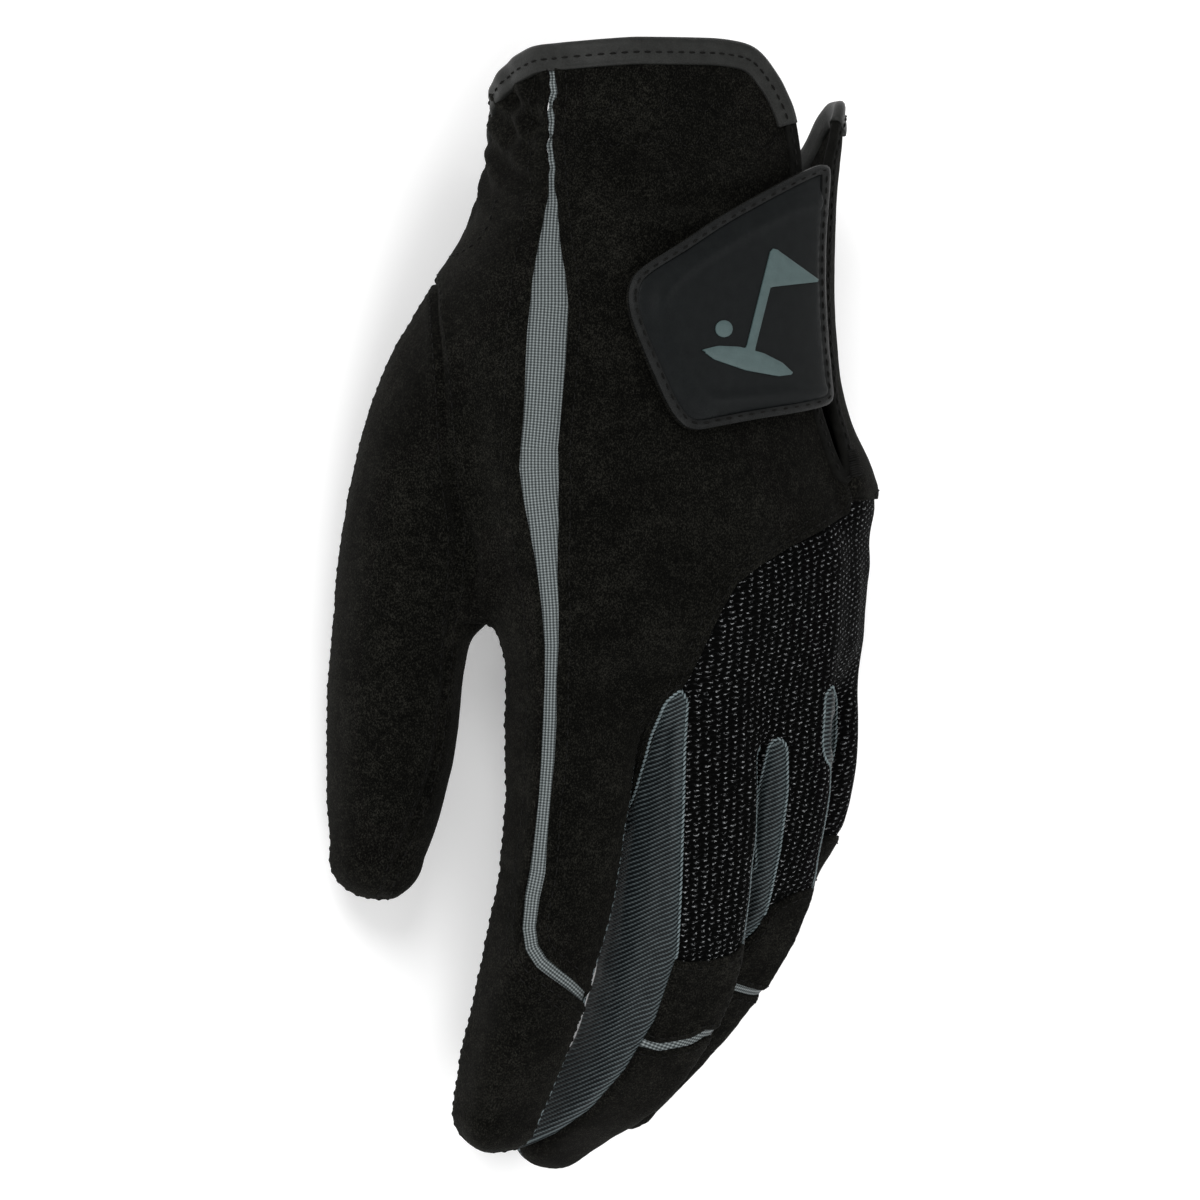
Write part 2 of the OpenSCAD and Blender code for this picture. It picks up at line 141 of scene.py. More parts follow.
# y, x, z, half breadth, half depth
LINES = {
    "index": [(8, -31, 42.5, 12, 11.5), (-8, -31, 41.5, 13.4, 11.6), (-20, -31.5, 40.2, 12.8, 11.3), (-40, -31.5, 38, 11.1, 11), (-58, -32.5, 35.5, 10.6, 10.6), (-66, -33.5, 33.5, 10.4, 10.4),
              (-78, -35, 30, 9.9, 9.9), (-90, -35.7, 24.5, 9.3, 8.9), (-101, -35.6, 18.5, 8.2, 7.4)],
    "middle": [(8, -7, 49, 10.5, 11.5), (-14, -6, 47, 10.2, 11.4), (-40, -5, 45, 9.9, 11.2), (-60, -4.5, 42, 9.8, 11), (-71, -4, 38.5, 9.6, 10.6),
               (-82, -5.5, 33, 9.3, 10), (-94, -10, 25, 8.8, 8.9), (-106, -17, 10.5, 7.4, 7.2)],
    "ring": [(8, 14, 47, 9.6, 11), (-14, 14.6, 45, 9.2, 10.8), (-36, 15.4, 42.5, 9.0, 10.6), (-48, 15.6, 39, 9.0, 10.3), (-58, 16.4, 34.5, 8.8, 9.8),
             (-70, 14.4, 27.5, 8.4, 9.3), (-85, 8.4, 16.5, 8.0, 8.3), (-98, 1.2, 8.2, 7.0, 7.1)],
    "little": [(6, 30, 33, 9, 10), (-14, 31, 30, 8.6, 9.6), (-28, 31.5, 29, 8.4, 9.3), (-36, 31.5, 27.5, 8.4, 9.2), (-43, 31, 25, 8.3, 9), (-51, 29.5, 20.5, 8.1, 8.5),
               (-58, 27.5, 15.5, 7.7, 7.8), (-66, 24.5, 8.5, 6.8, 6.8)],
    "thumb": [(64, -36, 28, 9, 11), (48, -44.5, 23, 13, 14.5), (34, -49.5, 20.5, 14, 15), (15, -54.5, 19, 13.9, 14.2), (-5, -57.8, 18.5, 13.1, 13.2),
              (-22, -59, 17.2, 12.6, 12.4), (-32, -59.6, 16.2, 12, 11.6), (-42, -60.2, 15, 10.8, 10.3), (-50, -61, 14, 9.2, 8.8)],
}
ROUND = {"index": 2.9, "middle": 2.9, "ring": 2.9, "little": 2.9, "thumb": 2.35}
CAP = {"index": 9.6, "middle": 8.5, "ring": 8, "little": 7.5, "thumb": 9.5}
# webs between neighbouring fingers: y, x, z, half breadth, half depth
WEBS = {
    "web_im": [(6, -19, 47, 8, 10), (-6, -18.6, 45.5, 8, 10), (-16, -18, 44.4, 7, 9.4)],
    "web_mr": [(4, 5, 48, 7, 10), (-12, 5, 46, 7, 10.5), (-22, 5, 44.5, 6, 9.6)],
    "web_rl": [(4, 24, 41, 7, 9.5), (-6, 24.5, 39, 6.5, 9), (-12, 25, 37, 6, 8.5)],
    "web_ti": [(16, -42, 32, 8, 9), (6, -44, 30, 7, 8.5), (3.5, -44.6, 29.4, 6, 7.5)],
}
# extra breadth of the gusset side of a finger: y, mm
WIDE = {"middle": [(-18, 0.6), (-26, 2.6), (-34, 4.0), (-42, 4.8), (-50, 5.6), (-60, 6.6), (-68, 7.4), (-76, 7.8), (-86, 6.0), (-96, 2.6), (-106, 0.3)]}


class Tube:
    def __init__(self, rows, n, cap, sub=8, wide=None):
        R = dense(rows, sub)
        self.C = np.stack([R[:, 1], R[:, 0], R[:, 2]], 1)
        self.T = unit(np.gradient(self.C, axis=0))
        ex = np.array([1.0, 0, 0]) - self.T * self.T[:, :1]
        self.X = unit(ex)
        u = np.cross(self.T, self.X)
        self.Z = np.where(u[:, 2:3] > 0, u, -u)
        self.a, self.b, self.n, self.cap = R[:, 3], R[:, 4], n, cap
        self.w = np.interp(-R[:, 0], [-q[0] for q in wide], [q[1] for q in wide]) if wide else np.zeros(len(R))
        self.s = np.concatenate([[0], np.cumsum(np.linalg.norm(np.diff(self.C, axis=0), axis=1))])

    def at(self, P):
        M = len(self.C)
        t = np.empty(len(P))
        for k in range(0, len(P), 40000):
            Q = P[k:k + 40000]
            i = ((Q[:, None, :] - self.C[None]) ** 2).sum(-1).argmin(1)
            L = ((Q - self.C[i]) * self.T[i]).sum(1)
            ds = np.where(L > 0, self.s[np.minimum(i + 1, M - 1)] - self.s[i], self.s[i] - self.s[np.maximum(i - 1, 0)])
            t[k:k + 40000] = np.clip(i + np.where(ds > 1e-6, L / np.maximum(ds, 1e-6), 0), 0, M - 1)
        i = np.minimum(t.astype(int), M - 2)
        f = (t - i)[:, None]
        mix = lambda A: A[i] * (1 - f) + A[i + 1] * f
        C, T, X, Z = mix(self.C), unit(mix(self.T)), unit(mix(self.X)), unit(mix(self.Z))
        a, b, s = mix(self.a[:, None])[:, 0], mix(self.b[:, None])[:, 0], mix(self.s[:, None])[:, 0]
        R = P - C
        x = (R * X).sum(1)
        a = np.where(x < 0, a + mix(self.w[:, None])[:, 0], a)
        return x, (R * Z).sum(1), (R * T).sum(1), a, b, s

    def d(self, P, full=False):
        x, z, L, a, b, s = self.at(P)
        n, m = self.n, 2.3
        ax, az = np.abs(x) / a, np.abs(z) / b
        r = np.maximum((ax ** n + az ** n), 1e-12) ** (1 / n)
        Lc = np.abs(L) / self.cap
        R = np.maximum(r ** m + Lc ** m, 1e-12) ** (1 / m)
        rx, rz = (ax / r) ** (n - 1) / a, (az / r) ** (n - 1) / b
        k = (r / R) ** (m - 1)
        g = np.sqrt((rx * k) ** 2 + (rz * k) ** 2 + ((Lc / R) ** (m - 1) / self.cap) ** 2)
        d = (R - 1) / np.maximum(g, 0.55 / np.maximum(a, b))
        if not full:
            return d
        return d, s + L, np.degrees(np.arctan2(z / b, x / a)), x, z, a, b


HD = dense(HAND, 8)[::-1]


def hand_local(P):
    y = P[:, 1]
    c = [np.interp(y, HD[:, 0], HD[:, k]) for k in range(1, 9)]
    cx, cz, a, bt, bb, tilt, bow, n = c
    x = P[:, 0] - cx
    z = P[:, 2] - cz + tilt * x + bow * np.minimum((x / a) ** 2, 2.0)
    return x, z, a, bt, bb, n


def hand_d(P):
    x, z, a, bt, bb, n = hand_local(P)
    b = np.where(z > 0, bt, bb)
    ax, az = np.abs(x) / a, np.abs(z) / b
    r = np.maximum(ax ** n + az ** n, 1e-12) ** (1 / n)
    L = np.maximum(-6.0 - P[:, 1], 0) / 11.0
    m = 2.3
    R = np.maximum(r ** m + L ** m, 1e-12) ** (1 / m)
    k = (r / R) ** (m - 1)
    g = np.sqrt(((ax / r) ** (n - 1) / a * k) ** 2 + ((az / r) ** (n - 1) / b * k) ** 2 + ((L / R) ** (m - 1) / 11.0) ** 2)
    return (R - 1) / np.maximum(g, 0.5 / np.maximum(a, b))


def hand_angle(P):
    x, z, a, bt, bb, n = hand_local(P)
    b = np.where(z > 0, bt, bb)
    e = n / 2
    return np.degrees(np.arctan2(np.sign(z) * (np.abs(z) / b) ** e, np.sign(x) * (np.abs(x) / a) ** e)) % 360.0


TUBE = {k: Tube(v, ROUND[k], CAP[k], wide=WIDE.get(k)) for k, v in LINES.items()}
WEB = {k: Tube(v, 2.6, 7.0) for k, v in WEBS.items()}
FINGERS = ["index", "middle", "ring", "little"]


def parts(P):
    D = {"hand": hand_d(P)}
    for k, t in TUBE.items():
        D[k] = t.d(P)
    for k, t in WEB.items():
        D[k] = t.d(P)
    return D


def sdf(P, D=None):
    D = D or parts(P)
    body = D["hand"]
    for k in WEB:
        body = smin(body, D[k], 5.0)
    f = np.minimum(np.minimum(D["index"], D["middle"]), np.minimum(D["ring"], D["little"]))
    body = smin(body, f, 5.0)
    return smin(body, D["thumb"], 7.0)


def nets(F, org, h):
    S = F < 0
    n = [s - 1 for s in F.shape]
    cor = [(i, j, k) for i in (0, 1) for j in (0, 1) for k in (0, 1)]
    sl = lambda A, c: A[c[0]:c[0] + n[0], c[1]:c[1] + n[1], c[2]:c[2] + n[2]]
    any_, all_ = np.zeros(n, bool), np.ones(n, bool)
    for c in cor:
        any_ |= sl(S, c)
        all_ &= sl(S, c)
    act = any_ & ~all_
    idx = np.argwhere(act)
    vid = np.full(n, -1, np.int64)
    vid[act] = np.arange(len(idx))
    V = {c: sl(F, c)[act] for c in cor}
    acc, cnt = np.zeros((len(idx), 3)), np.zeros(len(idx))
    for c in cor:
        for ax in range(3):
            if c[ax]:
                continue
            e = list(c)
            e[ax] = 1
            a, b = V[c], V[tuple(e)]
            m = (a < 0) != (b < 0)
            t = np.where(m, a / np.where(m, a - b, 1), 0)
            q = np.array(c, float)[None].repeat(len(idx), 0)
            q[:, ax] = t
            acc += q * m[:, None]
            cnt += m
    P = org + h * (idx + acc / cnt[:, None])
    quads = []
    for ax in range(3):
        b, c = (ax + 1) % 3, (ax + 2) % 3
        lo = [slice(None)] * 3
        hi = [slice(None)] * 3
        lo[ax], hi[ax] = slice(0, -1), slice(1, None)
        for k in (b, c):
            lo[k] = hi[k] = slice(1, -1)
        A, B = S[tuple(lo)], S[tuple(hi)]
        m = A != B
        q = np.argwhere(m)
        out = A[m]
        q[:, b] += 1
        q[:, c] += 1
        cells = []
        for db, dc in ((-1, -1), (0, -1), (0, 0), (-1, 0)):
            r = q.copy()
            r[:, b] += db
            r[:, c] += dc
            cells.append(vid[r[:, 0], r[:, 1], r[:, 2]])
        Q = np.stack(cells, 1)
        Q[~out] = Q[~out][:, ::-1]
        quads.append(Q)
    Q = np.vstack(quads)
    return P, Q[(Q >= 0).all(1)]


def grad(P, e=0.25):
    P = np.asarray(P)
    g = np.empty_like(P)
    for k in range(3):
        o = np.zeros(3)
        o[k] = e
        g[:, k] = (sdf(P + o) - sdf(P - o)) / (2 * e)
    return g


def project(P, it=2):
    for _ in range(it):
        g = grad(P)
        d = sdf(P)
        P = P - (d / np.maximum((g * g).sum(1), 0.2))[:, None] * g
    return P


def build_surface(h):
    org = np.array([-82.0, -120.0, -4.0])
    top = np.array([54.0, 118.0, 74.0])
    B = 5
    nb = np.ceil((top - org) / (h * B)).astype(int)
    cc = np.stack(np.meshgrid(*[org[k] + h * B * (np.arange(nb[k]) + 0.5) for k in range(3)], indexing="ij"), -1).reshape(-1, 3)
    dc = sdf(cc)
    F = np.repeat(np.repeat(np.repeat(dc.reshape(nb), B, 0), B, 1), B, 2)
    M = np.repeat(np.repeat(np.repeat((np.abs(dc) < h * B * 1.45).reshape(nb), B, 0), B, 1), B, 2)
    I = np.argwhere(M)
    P = org + h * I
    vals = np.empty(len(P))
    for k in range(0, len(P), 200000):
        vals[k:k + 200000] = sdf(P[k:k + 200000])
    F[I[:, 0], I[:, 1], I[:, 2]] = vals
    V, Q = nets(F, org, h)
    V = project(V, 1)
    return V, Q


import time
T0 = time.time()


def lap(what):
    print("%-22s %.1f s" % (what, time.time() - T0))


def to_m(P):
    return (np.asarray(P) + SH) / 1000.0


def tri(Q, V):
    d1 = ((V[Q[:, 0]] - V[Q[:, 2]]) ** 2).sum(1)
    d2 = ((V[Q[:, 1]] - V[Q[:, 3]]) ** 2).sum(1)
    m = (d1 <= d2)[:, None]
    A = np.where(m, Q[:, [0, 1, 2]], Q[:, [0, 1, 3]])
    B = np.where(m, Q[:, [0, 2, 3]], Q[:, [1, 2, 3]])
    return np.vstack([A, B])


def polysigned(p, poly):
    """Distance to a closed outline, positive inside it."""
    d, _, _ = polydist(p, poly, closed=True)
    inside = np.zeros(len(p), bool)
    q = np.asarray(poly, float)
    for i in range(len(q)):
        a, b = q[i], q[(i + 1) % len(q)]
        if a[1] == b[1]:
            continue
        c = (a[1] > p[:, 1]) != (b[1] > p[:, 1])
        x = (b[0] - a[0]) * (p[:, 1] - a[1]) / (b[1] - a[1]) + a[0]
        inside ^= c & (p[:, 0] < x)
    return np.where(inside, d, -d)


def attrs(P):
    A = {"P": P}
    D = {"hand": hand_d(P)}
    for k, t in TUBE.items():
        d, s, ph = t.d(P, True)[:3]
        D[k] = d
        A["s_" + k], A["f_" + k] = s, ph
    for k, t in WEB.items():
        D[k] = t.d(P)
    for k, v in D.items():
        A["d_" + k] = v
    A["N"] = unit(grad(P))
    A["nf"] = A["N"] @ DV
    A["U"], A["Y"] = P @ RT, P[:, 1]
    A["p"] = hand_angle(P)
    A["fin"] = np.stack([D[k] for k in FINGERS]).argmin(0)
    A["on"] = np.where(np.minimum.reduce([D[k] for k in FINGERS]) < D["hand"], 1, 0)
    return A


class Sheet:
    """A triangle mesh that can be cut exactly along the zero line of a field, and whose triangles carry a label."""

    def __init__(self, V, F, attr):
        self.V, self.F, self.attr = V, F, attr
        self.lab = np.full(len(F), -1)
        self.A = attr(V)

    def sub(self, idx):
        return {k: v[idx] for k, v in self.A.items()}

    def refresh(self, idx):
        if len(idx):
            for k, v in self.attr(self.V[idx]).items():
                self.A[k][idx] = v

    def mean(self, key):
        return self.A[key][self.F].mean(1)

    def cut(self, fn, sel, label=None, snap=0.2):
        if not sel.any():
            return
        idx = np.unique(self.F[sel])
        phi = np.zeros(len(self.V))
        phi[idx] = fn(self.sub(idx))
        locked = np.zeros(len(self.V), bool)
        locked[np.unique(self.F[~sel])] = True
        Fs = self.F[sel]
        E = np.unique(np.sort(np.vstack([Fs[:, [0, 1]], Fs[:, [1, 2]], Fs[:, [2, 0]]]), axis=1), axis=0)
        pa, pb = phi[E[:, 0]], phi[E[:, 1]]
        m = pa * pb < 0
        E, t = E[m], (pa[m] / (pa[m] - pb[m]))
        v = np.concatenate([E[:, 0], E[:, 1]])
        u = np.concatenate([t, 1 - t])
        T = np.vstack([self.V[E[:, 0]] + t[:, None] * (self.V[E[:, 1]] - self.V[E[:, 0]])] * 2)
        m = (u < snap) & ~locked[v]
        o = np.argsort(-u[m], kind="stable")
        self.V[v[m][o]] = T[m][o]
        phi[v[m]] = 0
        self.refresh(np.unique(v[m]))
        phi[v[(u < 0.13) & locked[v]]] = 0
        E = np.unique(np.sort(np.vstack([Fs[:, [0, 1]], Fs[:, [1, 2]], Fs[:, [2, 0]]]), axis=1), axis=0)
        pa, pb = phi[E[:, 0]], phi[E[:, 1]]
        m = pa * pb < 0
        E, t = E[m], (pa[m] / (pa[m] - pb[m]))
        if len(E):
            n = len(self.V)
            NV = self.V[E[:, 0]] + t[:, None] * (self.V[E[:, 1]] - self.V[E[:, 0]])
            self.V = np.vstack([self.V, NV])
            NA = self.attr(NV)
            for k in self.A:
                self.A[k] = np.concatenate([self.A[k], NA[k]])
            phi = np.concatenate([phi, np.zeros(len(NV))])
            key = E[:, 0] * np.int64(1 << 32) + E[:, 1]
            o = np.argsort(key)
            key, ids = key[o], (np.arange(len(NV)) + n)[o]

            def look(a, b):
                k = np.minimum(a, b) * np.int64(1 << 32) + np.maximum(a, b)
                i = np.minimum(np.searchsorted(key, k), len(key) - 1)
                return np.where(key[i] == k, ids[i], -1)
            F = self.F
            S = np.stack([look(F[:, 0], F[:, 1]), look(F[:, 1], F[:, 2]), look(F[:, 2], F[:, 0])], 1)
            cnt = (S >= 0).sum(1)
            keep = cnt == 0
            nf, src = [F[keep]], [np.flatnonzero(keep)]
            for k in range(3):
                m = (cnt == 1) & (S[:, k] >= 0)
                a, b, c, q = F[m, k], F[m, (k + 1) % 3], F[m, (k + 2) % 3], S[m, k]
                nf += [np.stack([a, q, c], 1), np.stack([q, b, c], 1)]
                src += [np.flatnonzero(m)] * 2
                m = (cnt == 2) & (S[:, k] < 0)
                c, a, b = F[m, k], F[m, (k + 1) % 3], F[m, (k + 2) % 3]
                q0, q1 = S[m, (k + 1) % 3], S[m, (k + 2) % 3]
                # split edges are a-b (q0) and b-c (q1); c-a is whole
                nf += [np.stack([q0, b, q1], 1), np.stack([a, q0, q1], 1), np.stack([a, q1, c], 1)]
                src += [np.flatnonzero(m)] * 3
            m = cnt == 3
            a, b, c = F[m].T
            x, y, z = S[m].T
            nf += [np.stack(q, 1) for q in ((a, x, z), (x, b, y), (z, y, c), (x, y, z))]
            src += [np.flatnonzero(m)] * 4
            src = np.concatenate(src)
            self.F, self.lab, sel = np.vstack(nf), self.lab[src], sel[src]
        if label is not None:
            self.lab[sel & (phi[self.F].sum(1) > 0)] = label
        return phi


# ---------------------------------------------------------------- pattern lines on the plane of the view

STRIP = [(-9.7, 112, .7), (-9.65, 106.4, .65), (-9.55, 100.5, .85), (-10.2, 98.8, .5), (-9.7, 96, .9), (-10.2, 92.4, .5), (-10, 90, .75), (-9.65, 86, .65), (-9.6, 81.5, .7),
         (-9.6, 78.6, 1.2), (-9.8, 75.8, 1.5), (-10.1, 70, 2.3), (-10.05, 64, 3.35), (-10.05, 58.5, 3.85), (-10.45, 52.8, 4.05), (-10.75, 47, 4.05), (-11.15, 41, 3.85),
         (-11.55, 35.5, 3.75), (-12.1, 30, 3.8), (-12.15, 26, 4.05), (-11.9, 21, 3.7), (-11.15, 13.5, 2.95), (-10.9, 9.8, 2.5), (-10.4, 3.8, 2), (-10, -1.5, 1.8),
         (-9.7, -9, 1.5), (-9.9, -16.5, 1.3), (-10.1, -24, 1.5), (-10.5, -31.5, 1.5), (-11.15, -39, 1.35), (-11.9, -46.5, 1.5), (-12.65, -54, 1.75), (-13.7, -59, 1.7),
         (-14.3, -65, 1.5), (-13.6, -69, 1.45), (-11.5, -72, 1.35), (-8.3, -74.5, 1.2), (-5.5, -76.7, 1.1), (-3, -79, 1.0), (-1, -81, 1.0), (2, -84, 1.0)]
STRIP_A = np.array(STRIP)
THUMB_SEAM = [(-33, 63.4), (-32.4, 56), (-31.4, 47.6), (-30.6, 37), (-30.2, 27.2), (-29, 18), (-28.4, 13.4), (-28.8, 5), (-30, -4.4), (-31, -18), (-32.6, -31.4), (-35, -39), (-38.2, -46.4), (-40.5, -52)]
THUMB_POLY = THUMB_SEAM + [(-44, -62), (-80, -62), (-80, 40), (-60, 66), (-44, 66.5)]
KNIT_TOP = [(60, 20.2), (53, 20), (49.4, 19.6), (49.2, 17.2), (43.8, 13.6), (37.2, 10.2), (31.6, 6.8), (27.2, 3.2), (24.2, -2), (21.2, -8), (17.6, -15.4), (16, -18)]
KNIT_LOW = [(15.4, -71.8), (18, -72.2), (22.2, -71.8), (26.4, -70.6), (31, -66.4), (33, -63.6), (34.6, -61.2), (39, -59), (43.8, -57.4), (48, -54)]
KNIT = KNIT_TOP + [(13, -26), (11, -50), (11, -70)] + KNIT_LOW + [(70, -54), (70, 20.2)]
IM = [(16, -17.6), (17.4, -20), (16.8, -30), (16.6, -40), (16, -60), (15.4, -71), (11, -84), (5, -94), (-2, -102), (-9, -107), (-16, -110), (-24, -112), (-40, -114), (-40, -45), (4, -44),
      (6.4, -40), (10, -28), (13, -20), (15, -18.4)]
MR = [(35.6, -27.2), (37.4, -29), (37.5, -38), (36, -50), (34.4, -58), (33, -65), (31, -70), (0, -75), (0, -56), (31.2, -54), (31, -46), (31.6, -38), (33.6, -29)]
RL = [(46.6, -17), (47.6, -20), (47.4, -28), (46, -36), (45, -40), (20, -46), (20, -40), (45, -38), (44.6, -28), (45, -19)]
# cuff height at each hand angle, and the two edges of the wrist slit, by y
CUFF = [(-180, 107), (-160, 100.5), (-135, 90), (-90, 86), (-45, 84), (-20, 84), (-10, 90), (-3, 96), (5, 99.5), (30, 99.5), (38, 98), (44, 93), (52, 96), (60, 99), (72, 103.6), (78, 107.4), (84, 110), (92, 111),
        (120, 111), (146, 110), (165, 109.4), (180, 107)]
SLIT_BACK = [(112, 75.5), (105, 72.5), (87, 65), (60, 58), (38, 55), (24, 52)]
SLIT_WRAP = [(105, 34), (99, 38), (96, 41), (90, 44.5), (38, 45.5), (30, 47.5), (24, 50)]


def tab(rows, v):
    R = np.array(sorted(rows), float)
    return np.interp(v, R[:, 0], R[:, 1])


def uv(A):
    return np.stack([A["U"], A["Y"]], 1)


def wrap(p):
    return (p + 180.0) % 360.0 - 180.0


def smax(a, b, k):
    return -smin(-a, -b, k)


def f_void(A):
    p = wrap(A["p"])
    top = A["Y"] - tab(CUFF, p)
    y = A["Y"]
    slit = np.minimum((p - tab(SLIT_WRAP, y)) * 0.62, (tab(SLIT_BACK, y) - p) * 0.62)
    slit = np.minimum(slit, y - 25.0)
    return smax(top, slit, 7.0)


def f_strip(A):
    d, side, par = polydist(uv(A), STRIP)
    return np.interp(par, np.arange(len(STRIP)), STRIP_A[:, 2]) - d


def seam_mm(A, k, lo, hi, mm=0.18):
    f = A["f_" + k]
    return np.minimum(f - lo, hi - f) * mm


def f_im(A):
    p = polysigned(uv(A), IM)
    y = A["Y"]
    face = smooth(A["nf"], -0.15, 0.12)
    wi = smooth(y, -46, -32) * face
    ri = np.minimum(seam_mm(A, "index", -42, 40), -19 - y)
    fi = wi * p + (1 - wi) * ri
    ph = A["f_middle"] % 360
    rm = np.minimum(np.minimum(ph - 100, 222 - ph) * 0.18, -19 - y)
    fm = face * np.minimum(p, (222 - ph) * 0.18) + (1 - face) * rm
    return np.where(A["d_index"] < A["d_middle"], fi, fm)


def round_end(s, t, r=5.5):
    """The smaller of two distances, with the corner between them rounded."""
    c = r - np.hypot(np.maximum(r - s, 0), np.maximum(r - t, 0))
    return np.where((s < r) & (t < r), c, np.minimum(s, t))


def f_pair(A, a, b, poly, y0, y1, yp):
    """Side gusset between finger a, on its little-finger side, and finger b."""
    p = polysigned(uv(A), poly)
    y = A["Y"]
    face = smooth(A["nf"], -0.15, 0.12)
    w = smooth(y, y0, y1) * face
    v = smooth(y, *((-54, -44) if a == "middle" else (-38, -30))) * face
    fa = v * p + (1 - v) * round_end(seam_mm(A, a, -42, 42), yp - y)
    ph = A["f_" + b] % 360
    fb = w * p + (1 - w) * round_end(np.minimum(ph - 138, 222 - ph) * 0.17, yp - y)
    return np.where(A["d_" + a] < A["d_" + b], fa, fb)


def f_thumb_back(A):
    w = smooth(A["nf"], -0.22, 0.05)
    ph = A["f_thumb"] % 360
    other = np.minimum(A["d_hand"], A["d_index"])
    back = np.minimum(np.minimum((202 - ph) * 0.22, (ph - 60) * 0.22), other - A["d_thumb"] + 3)
    back = np.minimum(back, 65.5 - A["Y"])
    return w * polysigned(uv(A), THUMB_POLY) + (1 - w) * back


def f_thumb_front(A):
    other = np.minimum(A["d_hand"], A["d_index"])
    f = np.minimum(other - A["d_thumb"], 65.5 - A["Y"])
    return np.minimum(f, np.maximum(-A["nf"] * 15, -5 - A["Y"]))


def f_palm(A):
    p = A["p"]
    y = A["Y"]
    fh = np.minimum(p - 216, 340 - p) * 0.6
    ff = np.zeros(len(y))
    for i, k in enumerate(FINGERS):
        ph = A["f_" + k] % 360
        if k == "little":
            ph = np.where(ph < 110, ph + 360, ph)
            v = np.minimum(ph - 226, 378 - ph) * 0.17
        else:
            v = np.minimum(ph - 225, 315 - ph) * 0.18
        ff = np.where(A["fin"] == i, v, ff)
    t = smooth(-y, 0, 20)
    web = smooth(-A["nf"], 0.1, 0.4) * smooth(y, -30, -24) * 3
    return (1 - t) * fh + t * ff + web * t


def f_knit(A):
    w = smooth(A["nf"], -0.1, 0.12)
    y = A["Y"]
    f = w * polysigned(uv(A), KNIT) + (1 - w) * (20.5 - y)
    low = np.where(A["fin"] == 3, y + 47.5, 50.0)
    return np.minimum(f, np.where(y < -30, low, 50.0))


def s_at(k, y):
    t = TUBE[k]
    return np.interp(-y, -t.C[:, 1], t.s)


def kslant(k, u):
    # the strip of the middle finger climbs toward the ring finger
    return np.interp(u, [8, 12, 18, 21], [0, 0.6, 3.6, 6.0]) if k == "middle" else 0.0 * u


KSTRIP = {"middle": s_at("middle", -86.0), "ring": s_at("ring", -73.0), "little": s_at("little", -53.5)}
SPLIT = {"index": -38.0, "middle": -40.0, "ring": -36.0, "little": -30.0}
LAB = {n: i for i, n in enumerate(["void", "four_im", "four_mr", "four_rl", "strip", "kstrip", "thumb_back", "thumb_front", "palm", "wrap", "knit", "side", "back", "seg", "cap"])}
NAME = {v: k for k, v in LAB.items()}

H = 0.95
V, Q = build_surface(H)
F = tri(Q, V)
S = Sheet(V, F, attrs)
lap("surface %d" % len(F))


def free():
    return S.lab < 0


S.cut(f_void, free() & (S.mean("Y") > 22) & (S.mean("d_thumb") > -50), LAB["void"])
far = lambda k: S.mean("d_" + k) < 6
S.cut(f_im, free() & (S.mean("Y") < -12) & (far("index") | far("middle")) & ((S.mean("fin") < 1.4)), LAB["four_im"])
S.cut(lambda A: f_pair(A, "middle", "ring", MR, -72, -62, -21), free() & (S.mean("Y") < -16) & (S.mean("fin") > 0.6) & (S.mean("fin") < 2.4), LAB["four_mr"])
S.cut(lambda A: f_pair(A, "ring", "little", RL, -42, -32, -18), free() & (S.mean("Y") < -12) & (S.mean("fin") > 1.6), LAB["four_rl"])
S.cut(f_strip, free() & (S.mean("nf") > 0.1) & (np.abs(S.mean("U") + 8) < 14) & ((S.mean("fin") < 0.4) | (S.mean("Y") > -8)), LAB["strip"])
S.cut(f_thumb_back, free() & (S.mean("U") < -15), LAB["thumb_back"])
S.cut(f_thumb_front, free() & (S.mean("d_thumb") < 6), LAB["thumb_front"])
for i, k in enumerate(FINGERS[1:], 1):
    S.cut(lambda A: 0.85 - np.abs(A["s_" + k] + kslant(k, A["U"]) - KSTRIP[k]), free() & (S.mean("fin") == i) & (S.mean("Y") < -40) & ((S.mean("f_" + k) > (10 if k == "little" else 30)) & (S.mean("f_" + k) < 150)), LAB["kstrip"])
S.cut(f_palm, free(), LAB["palm"])
S.cut(lambda A: np.minimum(tab([(100, 50), (24, 50), (20, 48)], A["Y"]) - wrap(A["p"]), wrap(A["p"]) + 60) * 0.6, free() & (S.mean("Y") > 20.4), LAB["wrap"])
S.cut(f_knit, free() & (S.mean("Y") < 22) & (S.mean("U") > 8) & ~((S.mean("fin") == 0) & (S.mean("Y") < -20)), LAB["knit"])
fr = free()
cy, cu, cf = S.mean("Y"), S.mean("U"), S.mean("fin")
left = cu < np.interp(-cy, -STRIP_A[:, 1], STRIP_A[:, 0]) 
lab = np.where(left | (cy < -84), LAB["side"], LAB["back"])
fin = np.rint(cf).astype(int)
for i, k in enumerate(FINGERS[1:], 1):
    m = (fin == i) & (cy < -42)
    lab = np.where(m, np.where(S.mean("s_" + k) + kslant(k, S.mean("U")) > KSTRIP[k], LAB["cap"], LAB["seg"]), lab)
S.lab[fr] = lab[fr]
for k in FINGERS:
    i = FINGERS.index(k)
    S.cut(lambda A: SPLIT[k] - A["Y"], (np.abs(S.mean("Y") - SPLIT[k]) < 4) & (S.mean("fin") == i) & ~np.isin(S.lab, [LAB["thumb_back"], LAB["thumb_front"]]))
lap("cut %d" % len(S.F))


# ---------------------------------------------------------------- materials

